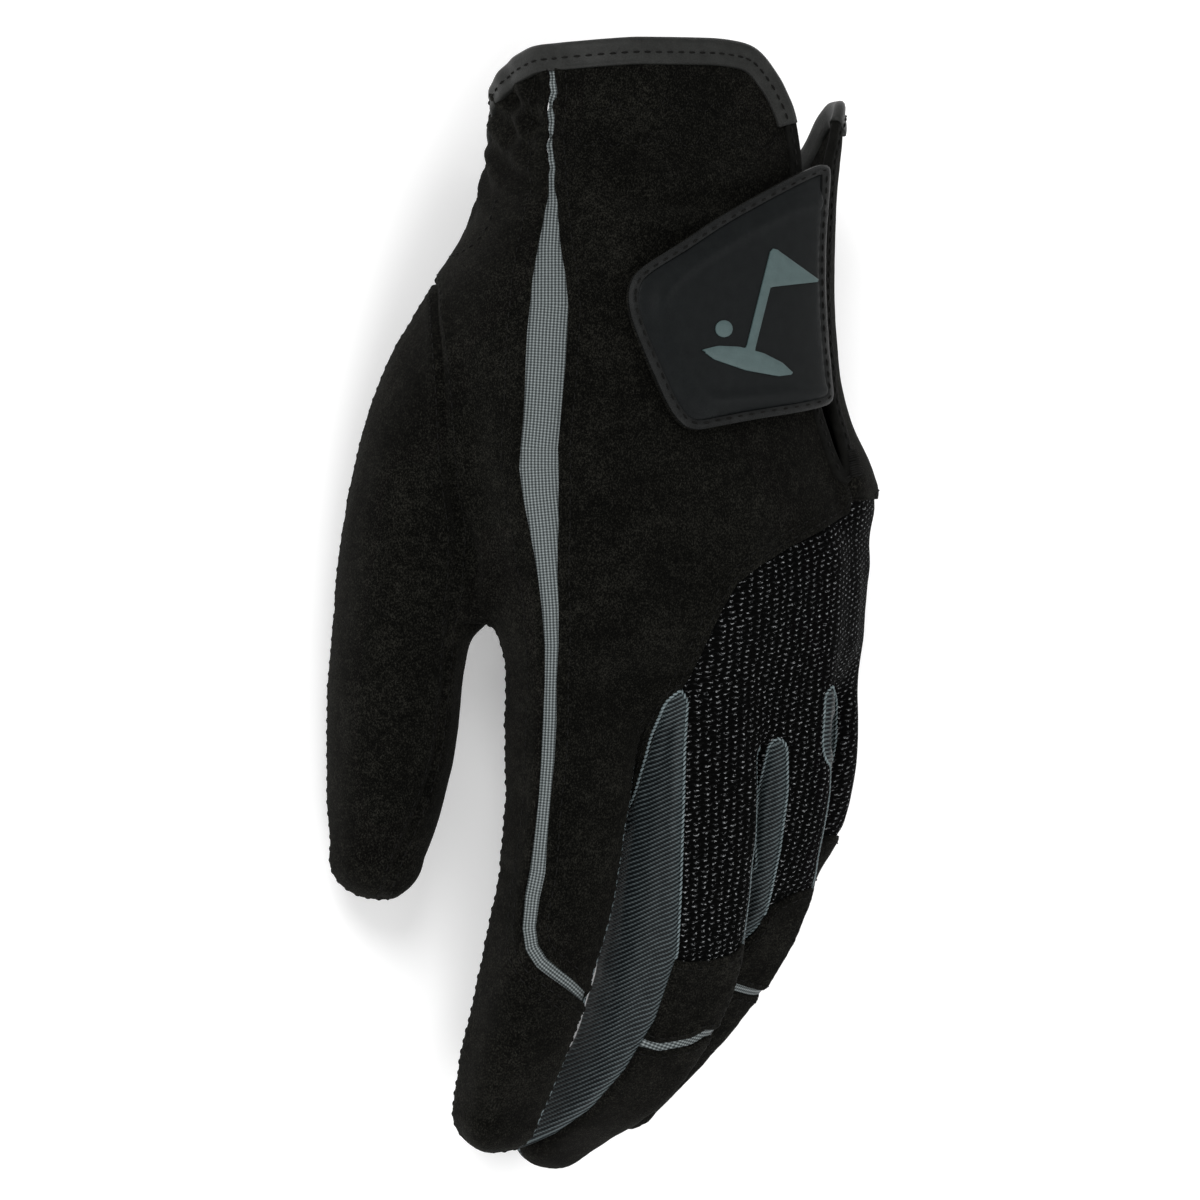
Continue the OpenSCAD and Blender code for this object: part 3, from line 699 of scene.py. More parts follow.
class Nodes:
    def __init__(self, name):
        self.m = bpy.data.materials.new(name)
        self.m.use_nodes = True
        self.t = self.m.node_tree
        self.b = self.t.nodes["Principled BSDF"]

    def new(self, kind, **kw):
        n = self.t.nodes.new("ShaderNode" + kind)
        for k, v in kw.items():
            if k.startswith("i_"):
                n.inputs[int(k[2:]) if k[2:].isdigit() else k[2:].replace("_", " ")].default_value = v
            else:
                setattr(n, k, v)
        return n

    def link(self, a, b):
        self.t.links.new(a, b)

    def attr(self, name):
        return self.new("Attribute", attribute_name=name).outputs["Vector"]

    def scaled(self, vec, s):
        n = self.new("Vector" + "Math", operation="MULTIPLY")
        self.link(vec, n.inputs[0])
        n.inputs[1].default_value = s if isinstance(s, tuple) else (s, s, s)
        return n.outputs[0]

    def noise(self, vec, scale, detail=2.0, rough=0.5, dist=0.0):
        n = self.new("TexNoise")
        self.link(vec, n.inputs["Vector"])
        n.inputs["Scale"].default_value = scale
        n.inputs["Detail"].default_value = detail
        n.inputs["Roughness"].default_value = rough
        n.inputs["Distortion"].default_value = dist
        return n.outputs["Fac"]

    def math(self, op, a, b=None, c=None, clamp=False):
        n = self.new("Math", operation=op)
        n.use_clamp = clamp
        for i, v in enumerate((a, b, c)):
            if v is None:
                continue
            if isinstance(v, (int, float)):
                n.inputs[i].default_value = v
            else:
                self.link(v, n.inputs[i])
        return n.outputs[0]

    def ramp(self, fac, stops):
        n = self.new("ValToRGB")
        e = n.color_ramp.elements
        e[0].position, e[0].color = stops[0][0], (*stops[0][1], 1)
        e[1].position, e[1].color = stops[-1][0], (*stops[-1][1], 1)
        for p, c in stops[1:-1]:
            q = e.new(p)
            q.color = (*c, 1)
        self.link(fac, n.inputs[0])
        return n.outputs[0]

    def bump(self, height, strength, dist):
        n = self.new("Bump")
        n.inputs["Strength"].default_value = strength
        n.inputs["Distance"].default_value = dist
        self.link(height, n.inputs["Height"])
        self.link(n.outputs[0], self.b.inputs["Normal"])

    def set(self, **kw):
        for k, v in kw.items():
            self.b.inputs[k.replace("_", " ")].default_value = v

    def xyz(self, vec):
        n = self.new("SeparateXYZ")
        self.link(vec, n.inputs[0])
        return n.outputs


def mat_suede():
    g = Nodes("suede_black")
    r = g.attr("rest")
    big = g.noise(r, 0.09, 3, 0.6)
    mid = g.noise(r, 0.55, 3, 0.65)
    nap = g.noise(g.scaled(r, (1.0, 0.7, 1.0)), 3.4, 3, 0.75)
    f = g.math("ADD", g.math("MULTIPLY", big, 0.16), g.math("MULTIPLY", mid, 0.20))
    f = g.math("ADD", f, g.math("MULTIPLY", nap, 0.80))
    col = g.ramp(f, [(0.46, (0.0004, 0.0004, 0.0003)), (0.58, (0.0017, 0.0017, 0.0013)), (0.74, (0.0160, 0.0156, 0.0128))])
    g.link(col, g.b.inputs["Base Color"])
    g.set(Roughness=0.95, Sheen_Weight=0.028, Sheen_Roughness=0.5, Sheen_Tint=(0.5, 0.49, 0.44, 1), Specular_IOR_Level=0.04)
    h = g.math("ADD", g.math("MULTIPLY", nap, 0.8), g.math("MULTIPLY", mid, 0.5))
    g.bump(h, 0.55, 0.00035)
    return g.m


def mat_knit():
    g = Nodes("mesh_knit")
    st = g.attr("st")
    o = g.xyz(st)
    wob = g.math("MULTIPLY", g.math("SUBTRACT", g.noise(st, 0.55, 2, 0.5), 0.5), 2.2)
    x = g.math("ADD", o[0], wob)
    y = g.math("SUBTRACT", o[1], g.math("MULTIPLY", x, 0.34))
    col = g.math("SINE", g.math("MULTIPLY", x, 2 * math.pi / 1.45))
    row = g.math("SINE", g.math("ADD", g.math("MULTIPLY", y, 2 * math.pi / 1.12), g.math("MULTIPLY", col, 1.2)))
    loop = g.math("MULTIPLY", g.math("ADD", g.math("MULTIPLY", row, 0.5), 0.5), g.math("ADD", g.math("MULTIPLY", col, 0.38), 0.62))
    fine = g.noise(g.scaled(st, (1.0, 1.6, 1.0)), 2.6, 2, 0.7)
    # painted glints: bright specks of highlight put into the colour where the fine noise peaks on a loop
    painted_glint = g.math("MULTIPLY", g.math("SUBTRACT", fine, 0.40), 5.0, clamp=True)
    f = g.math("ADD", g.math("MULTIPLY", loop, painted_glint), g.math("MULTIPLY", loop, 0.15))
    # the light top stops of this ramp are the painted glints; the dark stops are the knit's black yarn
    c = g.ramp(f, [(0.10, (0.0006, 0.0006, 0.0006)), (0.40, (0.0030, 0.0031, 0.0031)), (0.66, (0.024, 0.025, 0.026)), (1.0, (0.270, 0.280, 0.285))])
    g.link(c, g.b.inputs["Base Color"])
    g.set(Roughness=0.92, Specular_IOR_Level=0.03)
    g.bump(g.math("ADD", loop, g.math("MULTIPLY", fine, 0.6)), 0.7, 0.0005)
    return g.m


def mat_strip():
    g = Nodes("ribbed_stretch")
    st = g.attr("st")
    o = g.xyz(st)
    rib = g.math("SINE", g.math("MULTIPLY", o[1], 2 * math.pi / 0.56))
    cross = g.math("SINE", g.math("MULTIPLY", o[0], 2 * math.pi / 0.7))
    n = g.noise(st, 1.6, 2, 0.6)
    f = g.math("ADD", g.math("MULTIPLY", rib, 0.19), g.math("MULTIPLY", cross, 0.27))
    f = g.math("ADD", g.math("ADD", f, 0.42), g.math("MULTIPLY", n, 0.22))
    c = g.ramp(f, [(0.08, (0.006, 0.008, 0.009)), (0.5, (0.062, 0.074, 0.075)), (0.94, (0.225, 0.252, 0.254))])
    g.link(c, g.b.inputs["Base Color"])
    g.set(Roughness=0.65, Specular_IOR_Level=0.25, Sheen_Weight=0.05, Sheen_Roughness=0.4)
    g.bump(g.math("ADD", g.math("MULTIPLY", rib, 0.5), g.math("MULTIPLY", cross, 0.25)), 0.7, 0.0002)
    return g.m


def mat_twill():
    g = Nodes("twill_gusset")
    st = g.attr("st")
    o = g.xyz(st)
    rib = g.math("SINE", g.math("MULTIPLY", o[1], 2 * math.pi / 0.8))
    yarn = g.math("SINE", g.math("MULTIPLY", g.math("ADD", o[0], g.math("MULTIPLY", o[1], 0.6)), 2 * math.pi / 0.62))
    n = g.noise(st, 0.5, 2, 0.5)
    f = g.math("ADD", g.math("MULTIPLY", rib, 0.36), g.math("MULTIPLY", yarn, 0.12))
    f = g.math("ADD", g.math("ADD", f, 0.235), g.math("MULTIPLY", n, 0.26))
    rim = g.math("SUBTRACT", 1.0, g.math("MULTIPLY", o[2], 0.38), clamp=True)
    lip = g.math("SUBTRACT", 1.0, g.math("MULTIPLY", o[2], 0.95), clamp=True)
    f = g.math("ADD", f, g.math("MULTIPLY", rim, 0.20))
    f = g.math("ADD", f, g.math("MULTIPLY", lip, 0.26))
    c = g.ramp(f, [(0.12, (0.0016, 0.0026, 0.0032)), (0.46, (0.0085, 0.0120, 0.0135)), (0.90, (0.078, 0.096, 0.100))])
    g.link(c, g.b.inputs["Base Color"])
    g.set(Roughness=0.55, Specular_IOR_Level=0.14, Sheen_Weight=0.02, Sheen_Roughness=0.35)
    g.bump(g.math("ADD", g.math("MULTIPLY", rib, 0.5), g.math("MULTIPLY", yarn, 0.2)), 0.7, 0.00025)
    return g.m


def mat_plain(name, dark, light, rough, scale, bump, dist, spec=0.5, sheen=0.0, detail=4, stretch=(1, 1, 1)):
    g = Nodes(name)
    r = g.scaled(g.attr("rest"), stretch)
    n = g.noise(r, scale, detail, 0.65)
    b = g.noise(r, scale * 0.12, 2, 0.5)
    f = g.math("ADD", g.math("MULTIPLY", n, 0.55), g.math("MULTIPLY", b, 0.45))
    g.link(g.ramp(f, [(0.34, dark), (0.68, light)]), g.b.inputs["Base Color"])
    rg = g.math("ADD", g.math("MULTIPLY", n, 0.16), rough - 0.08)
    g.link(rg, g.b.inputs["Roughness"])
    g.set(Specular_IOR_Level=spec, Sheen_Weight=sheen)
    g.bump(n, bump, dist)
    return g.m


MAT = {"suede": mat_suede(), "knit": mat_knit(), "stretch_rib": mat_strip(), "fourchette": mat_twill(),
       "binding": mat_plain("folded_binding", (0.0060, 0.0063, 0.0056), (0.0170, 0.0178, 0.0164), 0.48, 2.6, 0.55, 0.0002, 0.19),
       "slit_edge": mat_plain("folded_suede_edge", (0.0014, 0.0014, 0.0012), (0.0062, 0.0062, 0.0054), 0.85, 3.0, 0.5, 0.0002, 0.06),
       "tab_edge": mat_plain("tab_edge", (0.0026, 0.0030, 0.0030), (0.0090, 0.0096, 0.0094), 0.5, 2.6, 0.5, 0.0002, 0.14),
       "moulded_plate": mat_plain("moulded_rubber", (0.0022, 0.0030, 0.0033), (0.0048, 0.0060, 0.0063), 0.5, 3.5, 0.3, 0.0001, 0.11),
       "emblem": mat_plain("emblem_rubber", (0.040, 0.066, 0.067), (0.056, 0.090, 0.090), 0.5, 4.0, 0.25, 0.0001, 0.4),
       "hook_and_loop": mat_plain("hook_and_loop", (0.004, 0.004, 0.004), (0.030, 0.030, 0.030), 0.75, 2.4, 1.0, 0.0008, 0.4, 0.1),
       "elastic": mat_plain("woven_elastic", (0.008, 0.008, 0.008), (0.030, 0.030, 0.030), 0.7, 2.2, 0.8, 0.0004, 0.4, 0.1, stretch=(0.3, 2.2, 0.3)),
       "thread": mat_plain("thread_black", (0.0020, 0.0020, 0.0018), (0.0075, 0.0073, 0.0066), 0.7, 7.0, 0.6, 0.0001, 0.08),
       "bead": mat_plain("thread_grey", (0.075, 0.100, 0.105), (0.160, 0.200, 0.210), 0.6, 7.0, 0.6, 0.0001, 0.4)}
SLOTOF = {"thread": "thread", "bead": "fourchette"}


# ---------------------------------------------------------------- seams between panels
from mathutils.kdtree import KDTree
from mathutils.bvhtree import BVHTree

VN = len(S.V)
E3 = np.sort(np.vstack([S.F[:, [0, 1]], S.F[:, [1, 2]], S.F[:, [2, 0]]]), axis=1)
TI = np.tile(np.arange(len(S.F)), 3)
KEY = E3[:, 0] * np.int64(1 << 32) + E3[:, 1]
o = np.argsort(KEY, kind="stable")
KEY, E3, TI = KEY[o], E3[o], TI[o]
pm = np.flatnonzero(KEY[1:] == KEY[:-1])
SE, SA, SB = E3[pm], S.lab[TI[pm]], S.lab[TI[pm + 1]]
pm = SA != SB
SE, SA, SB = SE[pm], SA[pm], SB[pm]
GROUP = {"strip": ["strip", "kstrip"], "four": ["four_im", "four_mr", "four_rl"], "knit": ["knit"], "void": ["void"],
         "suede": ["thumb_back", "thumb_front", "palm", "wrap", "side", "back", "seg", "cap"]}
GID = {g: [LAB[n] for n in v] for g, v in GROUP.items()}
SUEDE = set(GROUP["suede"])


def seam_edges(lab, group):
    ids = GID.get(group, [LAB.get(group, -9)])
    m = ((SA == lab) & np.isin(SB, ids)) | ((SB == lab) & np.isin(SA, ids))
    return SE[m]


def seam_dist(verts, edges, far=9.0):
    out = np.full(len(verts), far)
    if not len(edges):
        return out
    a, b = S.V[edges[:, 0]], S.V[edges[:, 1]]
    pts = np.vstack([a + (b - a) * t for t in (0.0, 0.25, 0.5, 0.75)])
    kd = KDTree(len(pts))
    for i, p in enumerate(pts.tolist()):
        kd.insert(p, i)
    kd.balance()
    for i, p in enumerate(S.V[verts].tolist()):
        out[i] = kd.find(p)[2]
    return np.minimum(out, far)


def ridge(A, line, w, h):
    d, _, par = polydist(uv(A), line)
    t = par / (len(line) - 1)
    return h * np.exp(-(d / w) ** 2) * np.clip(4 * t * (1 - t), 0, 1) ** 0.5 * smooth(A["nf"], -0.05, 0.3)


RIDGES = [
    ([(-2, 88), (8, 84.5), (18, 84), (28, 85.5), (37, 90)], 2.2, 1.5), ([(0, 82.5), (10, 79.5), (20, 79.5), (30, 82)], 1.8, -1.1), ([(-4, 78), (8, 75), (18, 75), (26, 77)], 2.4, 1.1),
    ([(6, 72), (14, 70), (20, 71)], 2.2, -0.4),
    ([(-21.5, 107), (-20.6, 99), (-21.8, 88)], 1.0, 0.8), ([(-18.2, 107), (-17.6, 99), (-18.6, 86)], 0.9, -0.8), ([(-15.6, 107), (-15.2, 99), (-16.2, 88)], 1.0, 0.7), ([(-13, 106), (-12.8, 98), (-13.6, 90)], 0.8, -0.5),
    ([(-20, 86), (-16, 82), (-13, 80)], 1.6, -0.6), ([(-24, 80), (-18, 76), (-14, 75)], 2.0, 0.6),
    ([(-30, 30), (-28.6, 20), (-26.6, 12), (-25, 5), (-24.6, -2)], 1.6, -2.3), ([(-33, 40), (-30, 20), (-31, 0)], 3.0, 0.5),
    ([(-21, -52), (-17, -55)], 1.4, -0.6), ([(-20, -20), (-16, -22)], 2.0, -0.4), ([(-27, -84), (-22, -86), (-15, -86)], 2.0, -0.4),
    ([(-38, 30), (-36, 10), (-38, -10)], 5.0, -0.8), ([(-48, -30), (-42, -34)], 2.5, -0.4),
    ([(20, 30), (30, 26), (42, 24)], 3.0, 0.6), ([(6, 28), (16, 20), (26, 12)], 3.5, -0.5), ([(0, 10), (6, -6), (10, -20)], 4.0, 0.5),
]


def relief(A):
    P = A["P"]
    g = 0.32 * noise3(P, 16.0, 3) + 0.16 * noise3(P, 7.0, 5) + 0.05 * noise3(P, 2.6, 9)
    for line, w, h in RIDGES:
        g = g + ridge(A, line, w, h)
    d = np.hypot(A["U"] + 23.6, A["Y"] - 1.5)
    g = g + 1.7 * np.exp(-(d / 3.8) ** 2) * smooth(A["nf"], -0.2, 0.2)
    # gathers made by the elastic under the cuff
    p = wrap(A["p"])
    y = A["Y"]
    g = g + 2.5 * np.exp(-((y - 23.5) / 10.0) ** 2) * smooth(p, -12, 18) * (1 - smooth(p, 40, 58))
    left = smooth(np.abs(p), 138, 160)
    g = g + left * smooth(y, 72, 82) * (1 - smooth(y, 104, 108)) * 0.75 * np.sin(2 * np.pi * (y + 0.5 * P[:, 2]) / 6.4 + 2 * noise3(P, 14, 4))
    palm = smooth(p, -150, -135) * (1 - smooth(p, -45, -30)) + (p < -150) * 0.0
    g = g + palm * smooth(y, 58, 66) * (1 - smooth(y, 82, 86)) * 0.9 * np.sin(2 * np.pi * P[:, 0] / 6.8 + 2.2 * noise3(P, 11, 6))
    # soft creases of the palm and of the inside of the fingers
    inner = smooth(-A["nf"], 0.2, 0.6)
    g = g + inner * smooth(-y, -6, 4) * 0.35 * np.sin(2 * np.pi * y / 13.0 + 1.5 * noise3(P, 12, 8))
    return g


G = relief(S.A)
lap("relief")
bell = lambda d, w: np.exp(-(d / w) ** 2)
OUT, NRM, DIST, VERTS = {}, {}, {}, {}
for name, i in LAB.items():
    T = S.F[S.lab == i]
    if name == "void" or not len(T):
        if name != "void":
            print("no panel", name)
        continue
    vs = np.unique(T)
    D = {g: seam_dist(vs, seam_edges(i, g)) for g in GROUP}
    d = np.zeros(len(vs))
    dmin = np.minimum.reduce([D[g] for g in GROUP])
    pucker = noise3(S.V[vs], 2.3, 12) * 0.14 * np.exp(-((dmin - 1.5) / 1.6) ** 2)
    if name in SUEDE:
        d += 0.25 * bell(D["strip"], 2.6) - 0.28 * bell(D["strip"], 0.5)
        d += 0.5 * bell(D["knit"], 4.0) - 0.25 * bell(D["knit"], 0.5)
        d += -0.6 * bell(D["suede"], 0.75) + 0.24 * bell(D["suede"] - 2.3, 1.3)
        d += -0.35 * bell(D["four"], 0.6) + 0.15 * bell(D["four"] - 1.6, 1.0)
        d += pucker
    elif name == "strip":
        d += -0.55 - 0.1 * bell(D["suede"], 0.8)
        y = S.A["Y"][vs]
        d += -0.5 * (bell(y - 98.8, 1.2) + bell(y - 92.4, 1.2)) + 0.25 * smooth(y, 80, 88) * np.sin(y * 2.1)
    elif name == "kstrip":
        d += -0.3
    elif name == "knit":
        d += -0.35 * bell(D["suede"], 1.4) - 0.35 * bell(D["four"], 0.8) + 0.1
    else:
        # a rolled edge round a slightly hollow middle
        d += -0.6 * bell(dmin, 0.7) + 0.3 * bell(dmin - 1.9, 1.1) - 0.3 * smooth(dmin, 2.0, 4.5)
    g = G[vs] * (0.35 if name in ("strip",) else 0.7 if name.startswith("four") or name == "kstrip" else 1.0)
    if name in ("back", "knit"):
        # flat under the closure tab
        keep = smooth(polydist(np.stack([S.A["U"][vs], S.A["Y"][vs]], 1), [(12, 52), (25, 56), (40, 62)])[0], 12, 24)
        g = g * (0.3 + 0.7 * keep)
    P = S.V.copy()
    P[vs] += S.A["N"][vs] * (d + g)[:, None]
    n = np.cross(P[T[:, 1]] - P[T[:, 0]], P[T[:, 2]] - P[T[:, 0]])
    N = np.zeros((VN, 3))
    for k in range(3):
        np.add.at(N, T[:, k], n)
    OUT[name], NRM[name], VERTS[name] = P, unit(N), vs
    full = {}
    for g_ in D:
        a = np.full(VN, 9.0)
        a[vs] = D[g_]
        full[g_] = a
    DIST[name] = full
lap("panels")

# ---------------------------------------------------------------- pieces


def bend_line(k):
    joint = J[k + "_bend"] - SH
    t = TUBE[k]
    i = np.abs(t.C[:, 1] - joint[1]).argmin()
    r = 8.5 if k == "little" else 10.5
    return joint - t.T[i] * r, joint + t.T[i] * r


for k in FINGERS:
    bend_line(k)
ridden = []


def attach(ob):
    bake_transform(ob)


def make_mesh(name, V, F, loops=None, attrs_=None, mat=None):
    me = bpy.data.meshes.new(name)
    me.vertices.add(len(V))
    me.vertices.foreach_set("co", to_m(V).astype(np.float32).ravel())
    F = np.asarray(F, np.int32)
    n = F.shape[1]
    me.loops.add(F.size)
    me.loops.foreach_set("vertex_index", F.ravel())
    me.polygons.add(len(F))
    me.polygons.foreach_set("loop_start", (np.arange(len(F)) * n).astype(np.int32))
    me.update(calc_edges=True)
    me.polygons.foreach_set("use_smooth", np.ones(len(F), bool))
    for k, v in (attrs_ or {}).items():
        at = me.attributes.new(k, "FLOAT_VECTOR", "POINT")
        at.data.foreach_set("vector", np.asarray(v, np.float32).ravel())
    if loops is not None:
        me.normals_split_custom_set(loops.reshape(-1, 3).tolist())
    ob = bpy.data.objects.new(name, me)
    bpy.context.scene.collection.objects.link(ob)
    if mat is not None:
        me.materials.append(mat)
    return ob


def solid(name, Vo, No, Vi, T, rest, st, mat):
    """A panel with thickness: outer skin, inner skin and a wall round its edge."""
    used = np.unique(T)
    re = np.full(len(Vo), -1)
    re[used] = np.arange(len(used))
    T = re[T]
    n = len(used)
    Vo, Vi, No, rest, st = Vo[used], Vi[used], No[used], rest[used], st[used]
    e = np.vstack([T[:, [0, 1]], T[:, [1, 2]], T[:, [2, 0]]])
    key = np.minimum(e[:, 0], e[:, 1]) * np.int64(1 << 32) + np.maximum(e[:, 0], e[:, 1])
    u, inv, cnt = np.unique(key, return_inverse=True, return_counts=True)
    b = e[cnt[inv] == 1]
    W = np.vstack([np.stack([b[:, 1], b[:, 0], b[:, 0] + n], 1), np.stack([b[:, 1], b[:, 0] + n, b[:, 1] + n], 1)])
    V = np.vstack([Vo, Vi])
    F = np.vstack([T, T[:, ::-1] + n, W])
    fn = unit(np.cross(V[W[:, 1]] - V[W[:, 0]], V[W[:, 2]] - V[W[:, 0]]))
    L = np.vstack([No[T].reshape(-1, 3), -No[T[:, ::-1]].reshape(-1, 3), np.repeat(fn, 3, axis=0)])
    return make_mesh(name, V, F, L, {"rest": np.vstack([rest, rest]), "st": np.vstack([st, st])}, mat)


def coords(name, A):
    """Pattern coordinates in mm: along and across the cloth."""
    P = A["P"]
    if name == "strip":
        d, side, par = polydist(uv(A), STRIP)
        L = np.concatenate([[0], np.cumsum(np.linalg.norm(np.diff(STRIP_A[:, :2], axis=0), axis=1))])
        return np.stack([side * d, np.interp(par, np.arange(len(L)), L), np.zeros(len(d))], 1)
    if name == "kstrip":
        s = np.zeros(len(P))
        ph = np.zeros(len(P))
        for i, k in enumerate(FINGERS):
            m = A["fin"] == i
            s[m] = A["s_" + k][m]
            ph[m] = A["f_" + k][m] * 0.17
        return np.stack([s, ph, s * 0], 1)
    if name.startswith("four"):
        c, s = math.cos(math.radians(24)), math.sin(math.radians(24))
        return np.stack([c * A["U"] + s * A["Y"], c * A["Y"] - s * A["U"], A["U"] * 0], 1)
    a = np.arctan2(P[:, 2] - 18.0, P[:, 0] - 6.0)
    return np.stack([-30 * a, A["Y"] + 0.15 * P[:, 2], a * 0], 1)


NODEMAP = {("back", "H"): ["back_panel"], ("strip", "H"): ["stretch_strip"], ("side", "H"): ["index_side_panel"], ("palm", "H"): ["palm_panel"], ("wrap", "H"): ["wrist_wrap"], ("knit", "H"): ["knuckle_knit"],
           ("thumb_back", "T"): ["thumb_back", "thumb_tip_back"], ("thumb_front", "T"): ["thumb_front", "thumb_tip_front"],
           ("back", "index"): ["index_back"], ("strip", "index"): ["index_strip", "index_tip_strip"], ("side", "index"): ["index_side", "index_tip_back"], ("palm", "index"): ["index_front", "index_tip_front"],
           ("four_im", "H"): ["fourchette_index_middle"], ("four_mr", "H"): ["fourchette_middle_ring"], ("four_rl", "H"): ["fourchette_ring_little"],
           ("four_im", "index"): ["index_tip_fourchette"], ("four_im", "middle"): ["middle_tip_fourchettes"], ("four_mr", "ring"): ["ring_tip_fourchettes"], ("four_rl", "little"): ["little_tip_fourchette"]}
for k in FINGERS[1:]:
    NODEMAP[("knit", k)] = [k + "_knit"]
    NODEMAP[("palm", k)] = [k + "_front", k + "_tip_front"]
    NODEMAP[("seg", k)] = [k + "_tip_back"]
    NODEMAP[("kstrip", k)] = [k + "_tip_strip"]
    NODEMAP[("cap", k)] = [k + "_tip_cap"]
SLOT = {"strip": "stretch_rib", "kstrip": "stretch_rib", "knit": "knit", "four_im": "fourchette", "four_mr": "fourchette", "four_rl": "fourchette"}
PRETTY = {"back": "back_panel", "side": "index_side_panel", "palm": "palm_panel", "wrap": "wrist_wrap", "seg": "knuckle_segment", "cap": "fingertip", "strip": "stretch_strip", "kstrip": "knuckle_strip",
          "four_im": "fourchette_index_middle", "four_mr": "fourchette_middle_ring", "four_rl": "fourchette_ring_little", "knit": "knit", "thumb_back": "thumb_back", "thumb_front": "thumb_front"}


def zone_of(A, thumb=False):
    z = np.full(len(A["Y"]), "H", dtype="<U6")
    if thumb:
        z[:] = "T"
        return z
    for i, k in enumerate(FINGERS):
        z[(A["fin"] == i) & (A["Y"] < SPLIT[k])] = k
    return z


TC = {"fin": np.rint(S.mean("fin")).astype(int), "Y": S.mean("Y")}
mf = S.A["fin"][S.F]
TC["fin"] = np.where(mf[:, 0] == mf[:, 1], mf[:, 0], mf[:, 2])
made = set()
for name, P in OUT.items():
    m = S.lab == LAB[name]
    zz = zone_of({k: v[m] for k, v in TC.items()}, name.startswith("thumb"))
    T = S.F[m]
    st = coords(name, S.A)
    if name.startswith("four"):
        st[:, 2] = np.minimum.reduce(list(DIST[name].values()))
    th = {"strip": 0.5, "kstrip": 0.6, "knit": 0.9}.get(name, 0.8 if name.startswith("four") else 1.05)
    Vi = P - S.A["N"] * th
    for z in np.unique(zz):
        t = T[zz == z]
        if len(t) < 12:
            print("tiny", name, z, len(t))
        ob = solid(PRETTY[name] + ("" if z in ("H", "T") else "_" + z), P, NRM[name], Vi, t, S.V, st, MAT[SLOT.get(name, "suede")])
        attach(ob)
        if (name, z) in NODEMAP:
            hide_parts(*NODEMAP[(name, z)])
            made.add((name, z))
print("not replaced yet", [k for k in NODEMAP if k not in made])
lap("pieces")

# ---------------------------------------------------------------- stitching
THREADS = {}
UC = np.array([-1, -0.55, 0.0, 0.55, 1.0])
UR = np.array([0.3, 0.85, 1.0, 0.85, 0.3])
ANG = np.arange(6) * np.pi / 3


def capsules(zone, mat, P, T, N, hl, r, arch=0.12, sink=0.0, thumb=False):
    if not len(P):
        return
    T = unit(T)
    N = unit(N - (N * T).sum(1, keepdims=True) * T)
    B = np.cross(T, N)
    c = P[:, None] + T[:, None] * (UC * hl)[None, :, None] + N[:, None] * ((arch + 0.18) * (1 - UC ** 2) - 0.18 - sink)[None, :, None]
    ring = c[:, :, None] + (np.cos(ANG)[None, None, :, None] * B[:, None, None] + np.sin(ANG)[None, None, :, None] * N[:, None, None]) * (r * UR)[None, :, None, None]
    m = len(P)
    V = ring.reshape(m, 30, 3)
    ends = np.stack([c[:, 0] - T * r * 0.3, c[:, -1] + T * r * 0.3], 1)
    V = np.concatenate([V, ends], 1)
    f = []
    for i in range(4):
        for j in range(6):
            a, b = i * 6 + j, i * 6 + (j + 1) % 6
            f += [(a, b, b + 6), (a, b + 6, a + 6)]
    for j in range(6):
        f += [(30, (j + 1) % 6, j), (31, 24 + j, 24 + (j + 1) % 6)]
    f = np.array(f)
    F = (f[None] + (np.arange(m) * 32)[:, None, None]).reshape(-1, 3)
    if (np.cross(V[0, 1] - V[0, 0], V[0, 7] - V[0, 0]) @ (V[0, 0] - c[0, 0])) < 0:
        F = F[:, ::-1]
    rest = np.repeat(P[:, None], 32, 1).reshape(-1, 3)
    THREADS.setdefault((zone, mat), []).append((V.reshape(-1, 3), F, rest))


def chains(pairs):
    nb = {}
    for a, b in pairs:
        nb.setdefault(a, []).append(b)
        nb.setdefault(b, []).append(a)
    seen = set()
    out = []
    starts = [k for k, v in nb.items() if len(v) != 2] + list(nb)
    for s0 in starts:
        if s0 in seen and len(nb[s0]) == 2:
            continue
        for first in nb[s0]:
            if (s0, first) in seen:
                continue
            line = [s0]
            prev, cur = s0, first
            seen.add(s0)
            while True:
                seen.add((prev, cur))
                seen.add((cur, prev))
                line.append(cur)
                nxt = [q for q in nb[cur] if q != prev and (cur, q) not in seen]
                if len(nb[cur]) != 2 or not nxt or cur in seen:
                    seen.add(cur)
                    break
                seen.add(cur)
                prev, cur = cur, nxt[0]
            if len(line) > 2:
                out.append(line)
    return out


def iso(P, N, T, phi, c):
    s = phi - c
    s = np.where(s == 0, 1e-6, s)
    T = T[(s[T].min(1) < 0) & (s[T].max(1) > 0)]
    if not len(T):
        return []
    pts, nrm, ids = [], [], []
    for a, b in ((0, 1), (1, 2), (2, 0)):
        va, vb = T[:, a], T[:, b]
        cr = (s[va] < 0) != (s[vb] < 0)
        t = np.where(cr, s[va] / np.where(cr, s[va] - s[vb], 1), 0)[:, None]
        pts.append(P[va] + t * (P[vb] - P[va]))
        nrm.append(N[va] + t * (N[vb] - N[va]))
        ids.append(np.where(cr, np.minimum(va, vb) * np.int64(1 << 32) + np.maximum(va, vb), -1))
    ids = np.stack(ids, 1)
    pts, nrm = np.stack(pts, 1), np.stack(nrm, 1)
    ok = (ids >= 0).sum(1) == 2
    ids, pts, nrm = ids[ok], pts[ok], nrm[ok]
    where = {}
    pairs = []
    for i in range(len(ids)):
        e = [j for j in range(3) if ids[i, j] >= 0]
        for j in e:
            where[int(ids[i, j])] = (pts[i, j], nrm[i, j])
        pairs.append((int(ids[i, e[0]]), int(ids[i, e[1]])))
    return [(np.array([where[k][0] for k in c_]), np.array([where[k][1] for k in c_])) for c_ in chains(pairs)]


